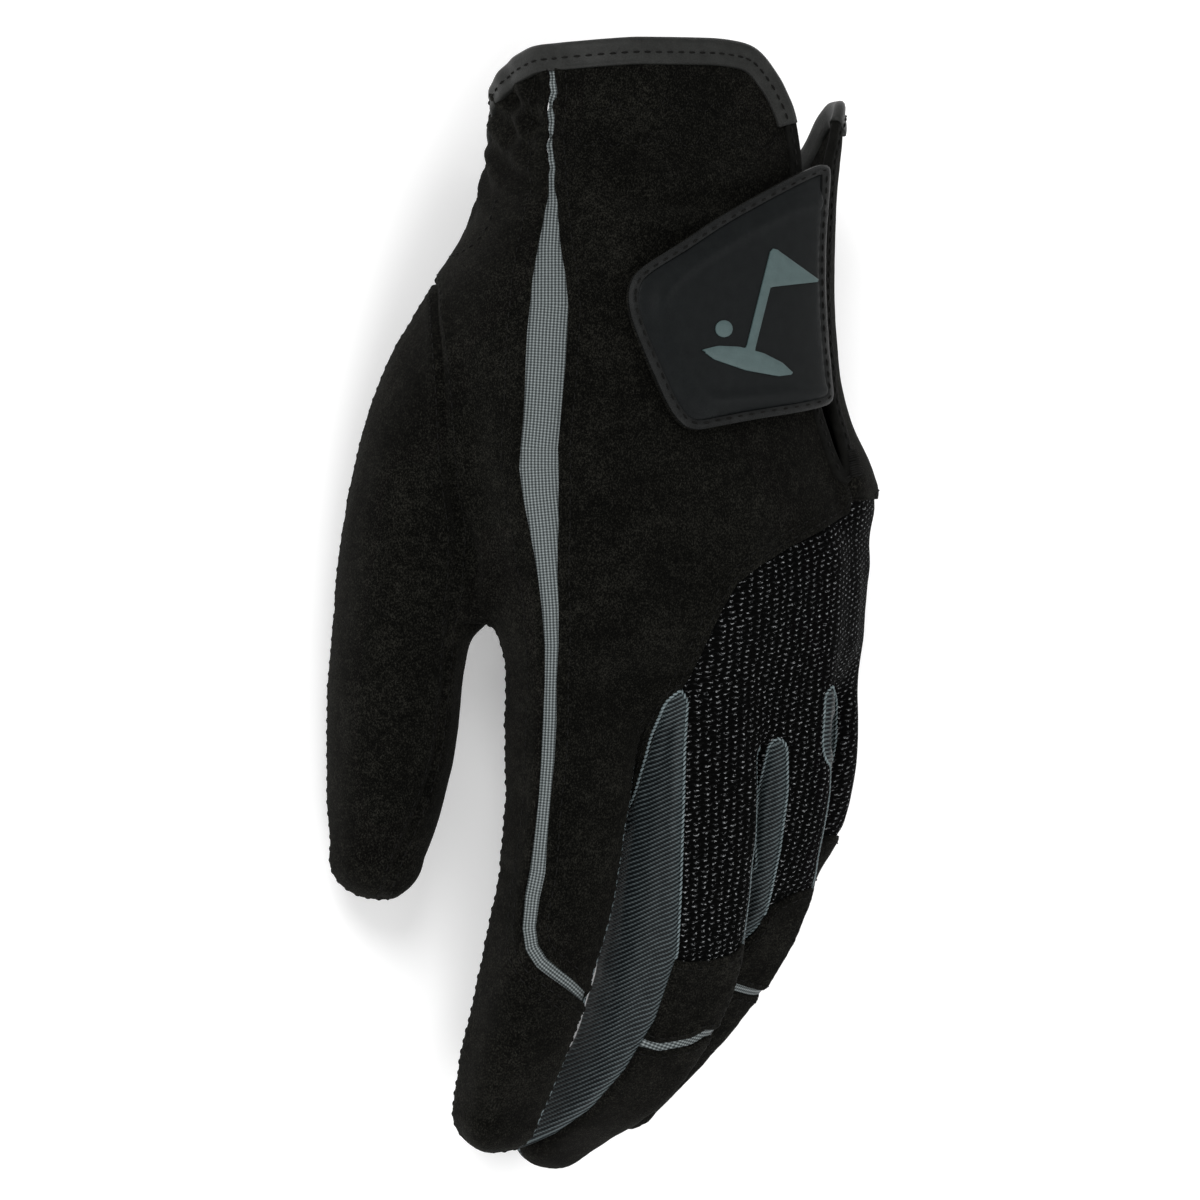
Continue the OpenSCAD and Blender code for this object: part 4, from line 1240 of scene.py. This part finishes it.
def walk(P, N, pitch, smooth_n=2):
    """Even steps along a line of points."""
    for _ in range(smooth_n):
        if len(P) > 4:
            P = np.vstack([P[:1], 0.25 * P[:-2] + 0.5 * P[1:-1] + 0.25 * P[2:], P[-1:]])
    L = np.concatenate([[0], np.cumsum(np.linalg.norm(np.diff(P, axis=0), axis=1))])
    if L[-1] < pitch * 1.5:
        return None
    n = int(L[-1] / pitch)
    s = (np.arange(n) + 0.5) * L[-1] / n
    at = lambda X, q: np.stack([np.interp(q, L, X[:, k]) for k in range(3)], 1)
    h = pitch * 0.35
    return at(P, s), unit(at(P, np.minimum(s + h, L[-1])) - at(P, np.maximum(s - h, 0))), unit(at(N, s))


def place(P, T, N, hl, r, mat="thread", thumb=False, arch=0.12, sink=0.0):
    A = attrs_zone(P)
    z = zone_of(A, thumb)
    for k in np.unique(z):
        m = z == k
        capsules(k, mat, P[m], T[m], N[m], hl, r, arch, sink)


def attrs_zone(P):
    D = np.stack([TUBE[k].d(P) for k in FINGERS])
    return {"fin": D.argmin(0), "Y": P[:, 1]}


def sew(name, group, inset, mask=None, pitch=2.3, hl=0.78, r=0.17, mat="thread"):
    if name not in OUT:
        return
    T = S.F[S.lab == LAB[name]]
    e = seam_edges(LAB[name], group)
    if not len(e):
        return
    if group in DIST[name]:
        phi = DIST[name][group]
    else:
        phi = np.full(VN, 9.0)
        phi[VERTS[name]] = seam_dist(VERTS[name], e)
    void = DIST[name]["void"]
    for P, N in iso(OUT[name], NRM[name], T, phi, inset):
        w = walk(P, N, pitch)
        if w is None:
            continue
        P, t, N = w
        if mask is not None:
            m = mask(P @ RT, P[:, 1], N @ DV)
            P, t, N = P[m], t[m], N[m]
        if len(P):
            place(P, t, N, hl, r, mat, name.startswith("thumb"))


sew("side", "strip", 4.0)
sew("back", "strip", 2.3)
sew("side", "strip", 2.0, lambda u, v, n: v < -60)
sew("back", "knit", 1.3)
sew("back", "knit", 3.0)
sew("thumb_back", "side", 1.7)
sew("side", "thumb_back", 1.6)
sew("side", "palm", 1.6)
sew("palm", "side", 1.6)
sew("palm", "thumb_front", 1.6)
sew("thumb_back", "thumb_front", 1.4)
sew("thumb_front", "thumb_back", 1.4)
sew("wrap", "palm", 1.6)
sew("palm", "wrap", 1.6)
sew("palm", "knit", 1.4)
sew("wrap", "knit", 1.5)
sew("palm", "four", 1.2)
sew("seg", "knit", 1.4)
sew("seg", "strip", 1.3)
sew("cap", "strip", 1.3)
sew("side", "four", 1.3, lambda u, v, n: v < -40)
sew("back", "four", 1.3)
lap("stitches")

# ---------------------------------------------------------------- whole outer skin, for laying things on it
keep = S.lab != LAB["void"]
allV = S.V + S.A["N"] * (G * 0.8)[:, None]
PV, PF = [], []
off = 0
for name, P in OUT.items():
    T = S.F[S.lab == LAB[name]]
    u = np.unique(T)
    re = np.full(VN, -1)
    re[u] = np.arange(len(u)) + off
    PV.append(P[u])
    PF.append(re[T])
    off += len(u)
PV, PF = np.vstack(PV), np.vstack(PF)
SKIN = BVHTree.FromPolygons(PV.tolist(), PF.tolist(), all_triangles=True)


def lay(points, lift=0.0):
    """Points of the view plane dropped on the skin."""
    P, N = [], []
    for u, v in points:
        o_ = RT * u + UP * v + DV * 120.0
        hit, nor, i, dd = SKIN.ray_cast(Vector(o_), Vector(-DV))
        if hit is None:
            continue
        n_ = np.array(nor)
        P.append(np.array(hit) + n_ * lift)
        N.append(n_ if n_ @ DV > 0 else -n_)
    return np.array(P), np.array(N)


def sew_line(points, pitch=2.3, hl=0.78, r=0.17, mat="thread", lift=0.02):
    P, N = lay(points, lift)
    w = walk(P, N, pitch, 1)
    if w:
        place(w[0], w[1], w[2], hl, r, mat)


# scalloped rows that hold the elastic under the back of the cuff
for y0, y1, u0, u1 in ((98.8, 1.6, -2.0, 33.0), (91.6, 1.6, -4.8, 36.0)):
    us = np.arange(u0, u1, 0.25)
    sew_line([(u, y0 + y1 * (1 - abs(math.sin(math.pi * (u - u0) / 5.0)) ** 0.6 * 2)) for u in us], pitch=1.55, hl=0.55, r=0.16)
for line in ([(-20.5, 80), (-22.5, 74), (-26, 70), (-31, 68)],):
    sew_line(dense(line, 20))

# ---------------------------------------------------------------- binding round the wrist opening
T_all = S.F[keep]
m = (SA == LAB["void"]) | (SB == LAB["void"])
loops = [l for l in chains([tuple(map(int, e)) for e in SE[m]])]
loops.sort(key=len, reverse=True)
rim = loops[0]
lab_at = {}
for name in OUT:
    for v in np.unique(S.F[S.lab == LAB[name]]):
        lab_at.setdefault(int(v), name)
RP = np.array([OUT[lab_at[v]][v] for v in rim])
RN = np.array([S.A["N"][v] for v in rim])
if np.linalg.norm(RP[0] - RP[-1]) > 1e-6 and rim[0] != rim[-1]:
    RP, RN = np.vstack([RP, RP[:1]]), np.vstack([RN, RN[:1]])


def loop_walk(P, N, step, passes=4):
    P, N = P[:-1], N[:-1]
    for _ in range(passes):
        P = 0.25 * np.roll(P, 1, 0) + 0.5 * P + 0.25 * np.roll(P, -1, 0)
        N = 0.25 * np.roll(N, 1, 0) + 0.5 * N + 0.25 * np.roll(N, -1, 0)
    P, N = np.vstack([P, P[:1]]), np.vstack([N, N[:1]])
    L = np.concatenate([[0], np.cumsum(np.linalg.norm(np.diff(P, axis=0), axis=1))])
    n = int(L[-1] / step)
    s = np.arange(n) * L[-1] / n
    at = lambda X: np.stack([np.interp(s, L, X[:, k]) for k in range(3)], 1)
    P, N = at(P), unit(at(N))
    for _ in range(3):
        P = 0.25 * np.roll(P, 1, 0) + 0.5 * P + 0.25 * np.roll(P, -1, 0)
    T = unit(np.roll(P, -1, 0) - np.roll(P, 1, 0))
    N = unit(N - (N * T).sum(1, keepdims=True) * T)
    return P, T, N


RP, RTn, RN = loop_walk(RP, RN, 1.0)
B_ = np.cross(RTn, RN)
ctr = RP.mean(0)
# the way out of the cloth at the rim: up at the cuff
if (B_ @ np.array([0, 1.0, 0])).sum() < 0:
    B_ = -B_
SECT = [(0.62, -4.4), (0.72, -3.6), (0.62, -2.6), (0.60, -1.7), (0.74, -0.6), (0.62, 0.3), (0.2, 0.85), (-0.45, 0.95), (-1.1, 0.8), (-1.6, 0.2), (-1.75, -0.8), (-1.6, -2.4), (-1.6, -4.2), (-1.2, -4.5), (-0.5, -4.6), (0.2, -4.65)]


def sweep(name, P, T, N, B, sect, closed, mat, taper=0):
    n, k = len(P), len(sect)
    f = np.ones(n)
    V = np.stack([P + N * a + B * b for a, b in sect], 1).reshape(-1, 3)
    F = []
    for i in range(n if closed else n - 1):
        i2 = (i + 1) % n
        for j in range(k):
            j2 = (j + 1) % k
            F += [(i * k + j, i2 * k + j, i2 * k + j2), (i * k + j, i2 * k + j2, i * k + j2)]
    if not closed:
        c0, c1 = len(V), len(V) + 1
        V = np.vstack([V, V[:k].mean(0), V[(n - 1) * k:n * k].mean(0)])
        for j in range(k):
            j2 = (j + 1) % k
            F += [(c0, j, j2), (c1, (n - 1) * k + j2, (n - 1) * k + j)]
    F = np.array(F)
    # outward winding
    v = V[F]
    vol = np.einsum("ij,ij->i", v[:, 0], np.cross(v[:, 1], v[:, 2])).sum()
    if vol < 0:
        F = F[:, ::-1]
    return make_mesh(name, V, F, None, {"rest": V}, mat)


p_rim = wrap(hand_angle(RP))
slit_part = (p_rim > 36) & (p_rim < 77) & (RP[:, 1] < 95.5)
# the closed loop starts where the slit part ends
i0 = int(np.flatnonzero(slit_part & ~np.roll(slit_part, -1))[0]) + 1
o = np.roll(np.arange(len(RP)), -i0)
sp = slit_part[o]
cut = int(np.flatnonzero(sp)[0])
ia, ib = o[:cut + 1], o[cut:]
wob = 0.16 * noise3(RP, 4.0, 21)
RP2 = RP + RN * wob[:, None]
for nm, idx, nodes in (("cuff_binding", ia, ["cuff_binding"]), ("slit_binding", np.concatenate([ib, ia[:1]]), ["slit_binding"])):
    ob = sweep(nm, RP2[idx], RTn[idx], RN[idx], B_[idx], SECT if nm == "cuff_binding" else [(a * 0.8, b * 0.62) for a, b in SECT], False, MAT["binding" if nm == "cuff_binding" else "slit_edge"])
    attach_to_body(ob, "hand")
    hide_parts(*nodes)
    L = np.concatenate([[0], np.cumsum(np.linalg.norm(np.diff(RP2[idx], axis=0), axis=1))])
    s = np.arange(1.2, L[-1] - 1, 2.35)
    ti = lambda X: np.stack([np.interp(s, L, X[idx][:, k]) for k in range(3)], 1)
    d0 = -2.2 if nm == "cuff_binding" else -1.5
    Pb, Tb, Nb, Bb = ti(RP2), unit(ti(RTn)), unit(ti(RN)), unit(ti(B_))
    capsules("hand", "thread", Pb + Nb * (0.66 if nm == "cuff_binding" else 0.56) + Bb * d0, Tb, Nb, 0.8, 0.2, 0.1)
lap("binding")

# ---------------------------------------------------------------- closure tab
TAB = [(5.6, 61), (6.6, 64.2), (9.6, 66.8), (16.2, 70.8), (24.2, 76.4), (33.8, 81.8), (40.8, 85.6), (44.6, 87.2), (46.0, 86.6), (46.1, 84), (45.2, 74), (45.0, 64.2), (45.4, 54), (46.2, 45), (46.7, 40.6), (46.0, 39.0),
       (41.2, 37.6), (31.4, 36), (24.2, 34.6), (19.6, 33.6), (16.8, 34.2), (14, 37.4), (10.2, 45.8), (7.2, 53), (5.8, 57.4)]
TABD = np.array(TAB)


def on_hand(p2):
    """The plain hand under a point of the view plane, and its normal; past the limb it carries on down the side."""
    O = p2[:, :1] * RT + p2[:, 1:2] * UP
    hs = np.arange(78.0, 14.0, -1.6)
    best, bh, done = np.full(len(p2), 1e9), np.zeros(len(p2)), np.zeros(len(p2), bool)
    lo = np.zeros(len(p2))
    prev = None
    for h in hs:
        d = hand_d(O + DV * h)
        m = (d < best) & ~done
        best, bh = np.where(m, d, best), np.where(m, h, bh)
        hit = (d < 0) & ~done
        lo = np.where(hit, h, lo)
        done |= hit
    a, b = np.where(done, lo, bh), np.where(done, lo + 1.6, bh)
    for _ in range(14):
        c = (a + b) / 2
        d = hand_d(O + DV * c[:, None])
        a, b = np.where(d < 0, c, a), np.where(d < 0, b, c)
    P = O + DV * ((a + b) / 2)[:, None]
    e = 0.6
    g = np.stack([hand_d(P + e * np.eye(3)[k]) - hand_d(P - e * np.eye(3)[k]) for k in range(3)], 1)
    return P, unit(g)


def on_tab(p2, lift=3.2):
    """The hand under the tab, moved so that a point lifted off it still shows at its place in the view."""
    q = p2
    for _ in range(3):
        P, N = on_hand(q)
        q = p2 - lift * np.stack([N @ RT, N @ UP], 1)
    return on_hand(q)


class Flat(Sheet):
    pass


def flat_sheet(outline, step, fields=()):
    """A flat mesh of an outline, cut along it and along further fields."""
    lo, hi = np.min(outline, 0) - step, np.max(outline, 0) + step
    nx, ny = int((hi[0] - lo[0]) / step) + 1, int((hi[1] - lo[1]) / step) + 1
    X, Y = np.meshgrid(lo[0] + step * np.arange(nx), lo[1] + step * np.arange(ny), indexing="ij")
    V = np.stack([X.ravel(), Y.ravel(), X.ravel() * 0], 1)
    i = np.arange(nx * ny).reshape(nx, ny)
    q = np.stack([i[:-1, :-1], i[1:, :-1], i[1:, 1:], i[:-1, 1:]], -1).reshape(-1, 4)
    alt = (np.add.outer(np.arange(nx - 1), np.arange(ny - 1)) % 2 == 0).ravel()[:, None]
    F = np.vstack([np.where(alt, q[:, [0, 1, 2]], q[:, [0, 1, 3]]), np.where(alt, q[:, [0, 2, 3]], q[:, [1, 2, 3]])])
    s = Flat(V, F, lambda P: {"uv": P[:, :2].copy()})
    s.cut(lambda A: polysigned(A["uv"], outline), s.lab < 0, 1)
    for fn in fields:
        s.cut(fn, s.lab == 1)
    s.F, s.lab = s.F[s.lab == 1], s.lab[s.lab == 1]
    return s


def slab(name, sh, T, top, bottom, mat, zone=None, body="closure_tab", nodes=()):
    """A closed piece over part of a flat sheet, between two heights above the hand."""
    uvp = sh.V[:, :2]
    used = np.unique(T)
    re = np.full(len(uvp), -1)
    re[used] = np.arange(len(used))
    P, N = on_tab(uvp[used])
    T = re[T]
    a, b = top(uvp[used]), bottom(uvp[used])
    Vo, Vi = P + N * a[:, None], P + N * b[:, None]
    tn = np.cross(Vo[T[:, 1]] - Vo[T[:, 0]], Vo[T[:, 2]] - Vo[T[:, 0]])
    NN = np.zeros_like(Vo)
    for k in range(3):
        np.add.at(NN, T[:, k], tn)
    st = np.hstack([uvp[used], np.zeros((len(used), 1))])
    ob = solid(name, Vo, unit(NN), Vi, T, Vo, st, mat)
    if body:
        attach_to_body(ob, body)
    if nodes:
        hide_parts(*nodes)
    return ob


def smooth_outline(poly, passes=2, sub=6):
    P = np.array(poly, float)
    n = len(P)
    out = []
    for i in range(n):
        p0, p1, p2, p3 = P[i - 1], P[i], P[(i + 1) % n], P[(i + 2) % n]
        for t in np.arange(sub) / sub:
            out.append(p1 + (p2 - p1) * t)
    P = np.array(out)
    for _ in range(passes * 3):
        P = 0.25 * np.roll(P, 1, 0) + 0.5 * P + 0.25 * np.roll(P, -1, 0)
    return P


TABO = smooth_outline(TAB)
fd = lambda p: polysigned(p, TABO)
step = 0.9
sh = flat_sheet(TABO, step, [lambda A: fd(A["uv"]) - 0.45, lambda A: fd(A["uv"]) - 1.0, lambda A: fd(A["uv"]) - 1.75, lambda A: fd(A["uv"]) - 2.15, lambda A: fd(A["uv"]) - 2.9])
fdV = fd(sh.V[:, :2])
fT = fdV[sh.F].mean(1)
slab("tab_strap", sh, sh.F, lambda p: 2.9 + 0 * p[:, 0], lambda p: 1.9 + 0 * p[:, 0], MAT["suede"], nodes=["tab_strap"])


def edge_h(p):
    d = np.clip(fd(p), 0, 9)
    return 3.05 + 0.75 * np.sqrt(np.clip(1 - ((d - 0.95) / 1.0) ** 2, 0.0, 1)) * (d < 1.95) + 0.05 * noise3(np.hstack([p, p[:, :1] * 0]), 1.6, 3)


slab("tab_binding", sh, sh.F[fT < 1.75], edge_h, lambda p: 2.5 + 0 * p[:, 0], MAT["tab_edge"], nodes=["tab_binding"])
INNER = [(11.6, 59.6), (15.4, 64.6), (26, 71.6), (37, 77.6), (43.6, 79.8), (50, 80), (50, 42.2), (43, 41.6), (31, 40.2), (22, 39.2), (19.4, 41), (15.2, 49.6), (12.2, 56.4)]
INO = smooth_outline(INNER)


def plate_h(p):
    d = fd(p)
    q = polysigned(p, INO)
    return 3.1 + 0.25 * smooth(d, 1.75, 2.3) + 1.0 * smooth(q, -3.2, 0.4) - 0.35 * smooth(q, 0.4, 1.6)


slab("tab_plate", sh, sh.F[fT >= 1.75], plate_h, lambda p: 2.5 + 0 * p[:, 0], MAT["moulded_plate"], nodes=["tab_plate"])

# a plain flag on a pole over a mound and a ball, raised on the plate
ca, sa = math.cos(math.radians(-14)), math.sin(math.radians(-14))


def turn(pts, c=(31.5, 58.0)):
    return [(c[0] + ca * x - sa * y, c[1] + sa * x + ca * y) for x, y in pts]


disc = lambda x, y, a, b, n=28: [(x + a * math.cos(2 * math.pi * k / n), y + b * math.sin(2 * math.pi * k / n)) for k in range(n)]
EMB = [turn([(-1.0, -9.0), (0.7, -9.0), (0.7, 12.0), (-1.0, 12.0)]), turn([(0.2, 12.0), (10.2, 8.2), (0.2, 4.2)]),
       turn([(-9.5, -11.2), (-6.6, -9.6), (-2.5, -8.7), (2.5, -8.7), (6.6, -9.6), (9.5, -11.2), (6.6, -12.4), (0, -12.9), (-6.6, -12.4)]), turn(disc(-6.2, -6.0, 1.7, 1.7))]
fe = lambda p: np.maximum.reduce([polysigned(p, e) for e in EMB])
box = np.array([(17, 41), (46, 41), (46, 76), (17, 76)], float)
se = flat_sheet(box, 0.6)
se.cut(lambda A: fe(A["uv"]), se.lab == 1, 2)
T = se.F[se.lab == 2]
slab("tab_emblem", se, T, lambda p: plate_h(p) + 0.42 - 0.16 * (fe(p) < 0.05), lambda p: plate_h(p) - 0.2, MAT["emblem"], nodes=["tab_emblem"])

# stitches along the tab's edge
ring = np.vstack([TABO, TABO[:1]])
q = np.vstack([TABO, TABO[:1]])
tg = unit(np.roll(TABO, -1, 0) - np.roll(TABO, 1, 0))
area = 0.5 * (TABO[:, 0] * np.roll(TABO[:, 1], -1) - np.roll(TABO[:, 0], -1) * TABO[:, 1]).sum()
nn = np.stack([-tg[:, 1], tg[:, 0]], 1) * (1 if area > 0 else -1)
inn = TABO + nn * 1.15
L = np.concatenate([[0], np.cumsum(np.linalg.norm(np.diff(np.vstack([inn, inn[:1]]), axis=0), axis=1))])
s = np.arange(0, L[-1] - 1, 2.3)
c2 = np.vstack([inn, inn[:1]])
pt = np.stack([np.interp(s, L, c2[:, k]) for k in range(2)], 1)
pt2 = np.stack([np.interp(s + 0.5, L, c2[:, k]) for k in range(2)], 1)
P0, N0 = on_tab(pt)
P1, N1 = on_tab(pt2)
capsules("closure_tab", "thread", P0 + N0 * 3.82, P1 - P0, N0, 0.8, 0.19, 0.1)

# hook patch under the tab and loop patch on the glove
def shrink(poly, d):
    P = smooth_outline(poly)
    t = unit(np.roll(P, -1, 0) - np.roll(P, 1, 0))
    a = 0.5 * (P[:, 0] * np.roll(P[:, 1], -1) - np.roll(P[:, 0], -1) * P[:, 1]).sum()
    return P + np.stack([-t[:, 1], t[:, 0]], 1) * (d if a > 0 else -d)


HOOK = [(9.5, 60), (17, 66.5), (27, 73), (30, 70), (27, 40), (20, 38.5), (15, 43), (11, 53)]
LOOP = [(11.5, 60), (20, 67), (32, 74), (37.5, 72), (38.2, 44), (32, 40.5), (22, 38.8), (16.4, 43.6), (13, 53)]
hs_ = flat_sheet(smooth_outline(HOOK), 0.8)
slab("tab_hook_patch", hs_, hs_.F, lambda p: 1.95 + 0 * p[:, 0], lambda p: 1.35 + 0.18 * noise3(np.hstack([p, p[:, :1] * 0]), 0.9, 5), MAT["hook_and_loop"], nodes=["tab_hook_patch"])
ls_ = flat_sheet(smooth_outline(LOOP), 0.7)
slab("loop_patch", ls_, ls_.F, lambda p: 0.85 + 0.22 * noise3(np.hstack([p, p[:, :1] * 0]), 0.9, 8), lambda p: -0.6 + 0 * p[:, 0], MAT["hook_and_loop"], body="hand", nodes=["loop_patch"])
lap("tab")

# ---------------------------------------------------------------- slit bar, elastic, edge beads
P0, N0 = lay([(49.6 + 0.12 * k, 29.6 - 0.42 * k) for k in range(12)], 0.5)
if len(P0):
    capsules("hand", "bar", P0, np.tile(unit(RT * 0.9 + UP * 0.25)[None], (len(P0), 1)), N0, 1.5, 0.28, 0.35)
else:
    print("no bar")


def spow(v, e):
    return np.sign(v) * np.abs(v) ** e


def hand_pt(y, p, off):
    c = [np.interp(y, HD[:, 0], HD[:, k]) for k in range(1, 9)]
    cx, cz, a, bt, bb, tilt, bow, n = c
    e = 2 / n
    x = spow(np.cos(np.radians(p)), e) * (a + off)
    s_ = spow(np.sin(np.radians(p)), e)
    z = s_ * (np.where(s_ > 0, bt, bb) + off)
    return np.stack([cx + x, y, cz + z - tilt * x - bow * (x / a) ** 2], -1)


def band(y0, y1, p0, p1, o0, o1, wave):
    ny, npp = 9, int((p1 - p0) / 1.2)
    Y, Pp = np.meshgrid(np.linspace(y0, y1, ny), np.linspace(p0, p1, npp), indexing="ij")
    rip = 0.35 * np.sin(Pp * wave)
    A1, A2 = hand_pt(Y, Pp, o0 + rip), hand_pt(Y, Pp, o1 + rip)
    i = np.arange(ny * npp).reshape(ny, npp)
    q = np.stack([i[:-1, :-1], i[1:, :-1], i[1:, 1:], i[:-1, 1:]], -1).reshape(-1, 4)
    T = np.vstack([q[:, [0, 1, 2]], q[:, [0, 2, 3]]])
    return A1.reshape(-1, 3), A2.reshape(-1, 3), T


bands = [band(84, 99, 82, 142, -1.5, -2.4, 1.5), band(64, 80, 225, 318, -1.5, -2.4, 1.2)]
VV, FF, n0 = [], [], 0
for o1, o2, T in bands:
    tn = np.cross(o1[T[:, 1]] - o1[T[:, 0]], o1[T[:, 2]] - o1[T[:, 0]])
    ctr_ = np.array([-1, 90.0, 28])
    if ((o1[T[:, 0]] - ctr_) * tn).sum() < 0:
        T = T[:, ::-1]
    n = len(o1)
    e = np.vstack([T[:, [0, 1]], T[:, [1, 2]], T[:, [2, 0]]])
    key = np.minimum(e[:, 0], e[:, 1]) * 100000 + np.maximum(e[:, 0], e[:, 1])
    u, inv, cnt = np.unique(key, return_inverse=True, return_counts=True)
    b = e[cnt[inv] == 1]
    W = np.vstack([np.stack([b[:, 1], b[:, 0], b[:, 0] + n], 1), np.stack([b[:, 1], b[:, 0] + n, b[:, 1] + n], 1)])
    VV += [o1, o2]
    FF.append(np.vstack([T, T[:, ::-1] + n, W]) + n0)
    n0 += 2 * n
VV, FF = np.vstack(VV), np.vstack(FF)
ob = make_mesh("cuff_elastic", VV, FF, None, {"rest": VV}, MAT["elastic"])
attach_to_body(ob, "hand")
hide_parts("cuff_elastic")

# twisted edge where the first gusset meets the index finger
for nm in ("back", "side"):
    e = seam_edges(LAB[nm], "four_im")
    if len(e):
        for l in chains([tuple(map(int, q)) for q in e]):
            P = OUT[nm][l] * 0.5 + OUT["four_im"][l] * 0.5
            N = S.A["N"][l]
            w = walk(P, N, 0.95, 3)
            if w is None:
                continue
            P, t, N = w
            mk = N @ DV > -0.25
            if mk.any():
                place(P[mk] + N[mk] * 0.35, unit(t[mk] + 0.55 * np.cross(t[mk], N[mk])), N[mk], 0.62, 0.30, "bead", arch=0.0)
e = seam_edges(LAB["knit"], "four")
for l in chains([tuple(map(int, q)) for q in e]):
    P = OUT["knit"][l]
    N = S.A["N"][l]
    w = walk(P, N, 0.95, 3)
    if w is None:
        continue
    P, t, N = w
    place(P + N * 0.25, unit(t + 0.5 * np.cross(t, N)), N, 0.55, 0.22, "bead", arch=0.0)
e = seam_edges(LAB["back"], "four_im")
lap("edges")

for (z, mt), items in THREADS.items():
    V_, F_, R_, n = [], [], [], 0
    for v, f, r_ in items:
        V_.append(v)
        F_.append(f + n)
        R_.append(r_)
        n += len(v)
    nm = {"thread": "stitches", "bead": "edge_cord", "bar": "slit_bartack"}[mt]
    ob = make_mesh(nm + "_" + z if mt != "bar" else nm, np.vstack(V_), np.vstack(F_), None, {"rest": np.vstack(R_)}, MAT["thread" if mt == "bar" else mt])
    if z in ("hand", "closure_tab"):
        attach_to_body(ob, z)
    else:
        attach(ob)
    if mt == "bar":
        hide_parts("slit_bartack")
lap("threads")

# ---------------------------------------------------------------- camera, floor, light
cam = bpy.data.cameras.new("cam")
co = bpy.data.objects.new("cam", cam)
bpy.context.scene.collection.objects.link(co)
DIST = 3.0
tgt = Vector(to_m(np.array([0.0, 0, 0]) + DV * 30.0))
co.matrix_world = Matrix(((RT[0], UP[0], DV[0], 0), (RT[1], UP[1], DV[1], 0), (RT[2], UP[2], DV[2], 0), (0, 0, 0, 1)))
co.location = tgt + Vector(DV) * DIST
cam.sensor_width = 36.0
cam.lens = 36.0 * DIST / 0.240
cam.clip_end = 20
bpy.context.scene.camera = co

def plane(name, size, z):
    me = bpy.data.meshes.new(name)
    s = size / 2
    me.from_pydata([(-s, -s, z), (s, -s, z), (s, s, z), (-s, s, z)], [], [(0, 1, 2, 3)])
    o = bpy.data.objects.new(name, me)
    bpy.context.scene.collection.objects.link(o)
    return o
floor = plane("floor", 6.0, -0.0020)
fm = bpy.data.materials.new("floor_white")
fm.use_nodes = True
fb = fm.node_tree.nodes["Principled BSDF"]
fb.inputs["Base Color"].default_value = (0.94, 0.94, 0.94, 1)
fb.inputs["Roughness"].default_value = 0.9
fb.inputs["Emission Color"].default_value = (1, 1, 1, 1)
fb.inputs["Emission Strength"].default_value = 0.22
floor.data.materials.append(fm)
w = bpy.data.worlds.new("w")
bpy.context.scene.world = w
w.use_nodes = True
w.node_tree.nodes["Background"].inputs["Color"].default_value = (1, 1, 1, 1)
w.node_tree.nodes["Background"].inputs["Strength"].default_value = 0.62


def lamp(name, loc, energy, size):
    l = bpy.data.lights.new(name, "AREA")
    l.energy, l.size, l.shape = energy, size, "DISK"
    o = bpy.data.objects.new(name, l)
    bpy.context.scene.collection.objects.link(o)
    o.location = loc
    o.rotation_euler = (-Vector(loc)).to_track_quat("-Z", "Y").to_euler()


lamp("key", (-0.9, 0.7, 1.1), 12.0, 0.7)
lamp("fill", (0.9, -0.2, 1.3), 4.5, 0.9)
lamp("low", (-0.5, -1.0, 0.75), 8.0, 0.6)
bpy.context.scene.view_settings.view_transform = "Standard"

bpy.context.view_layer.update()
lap("time")
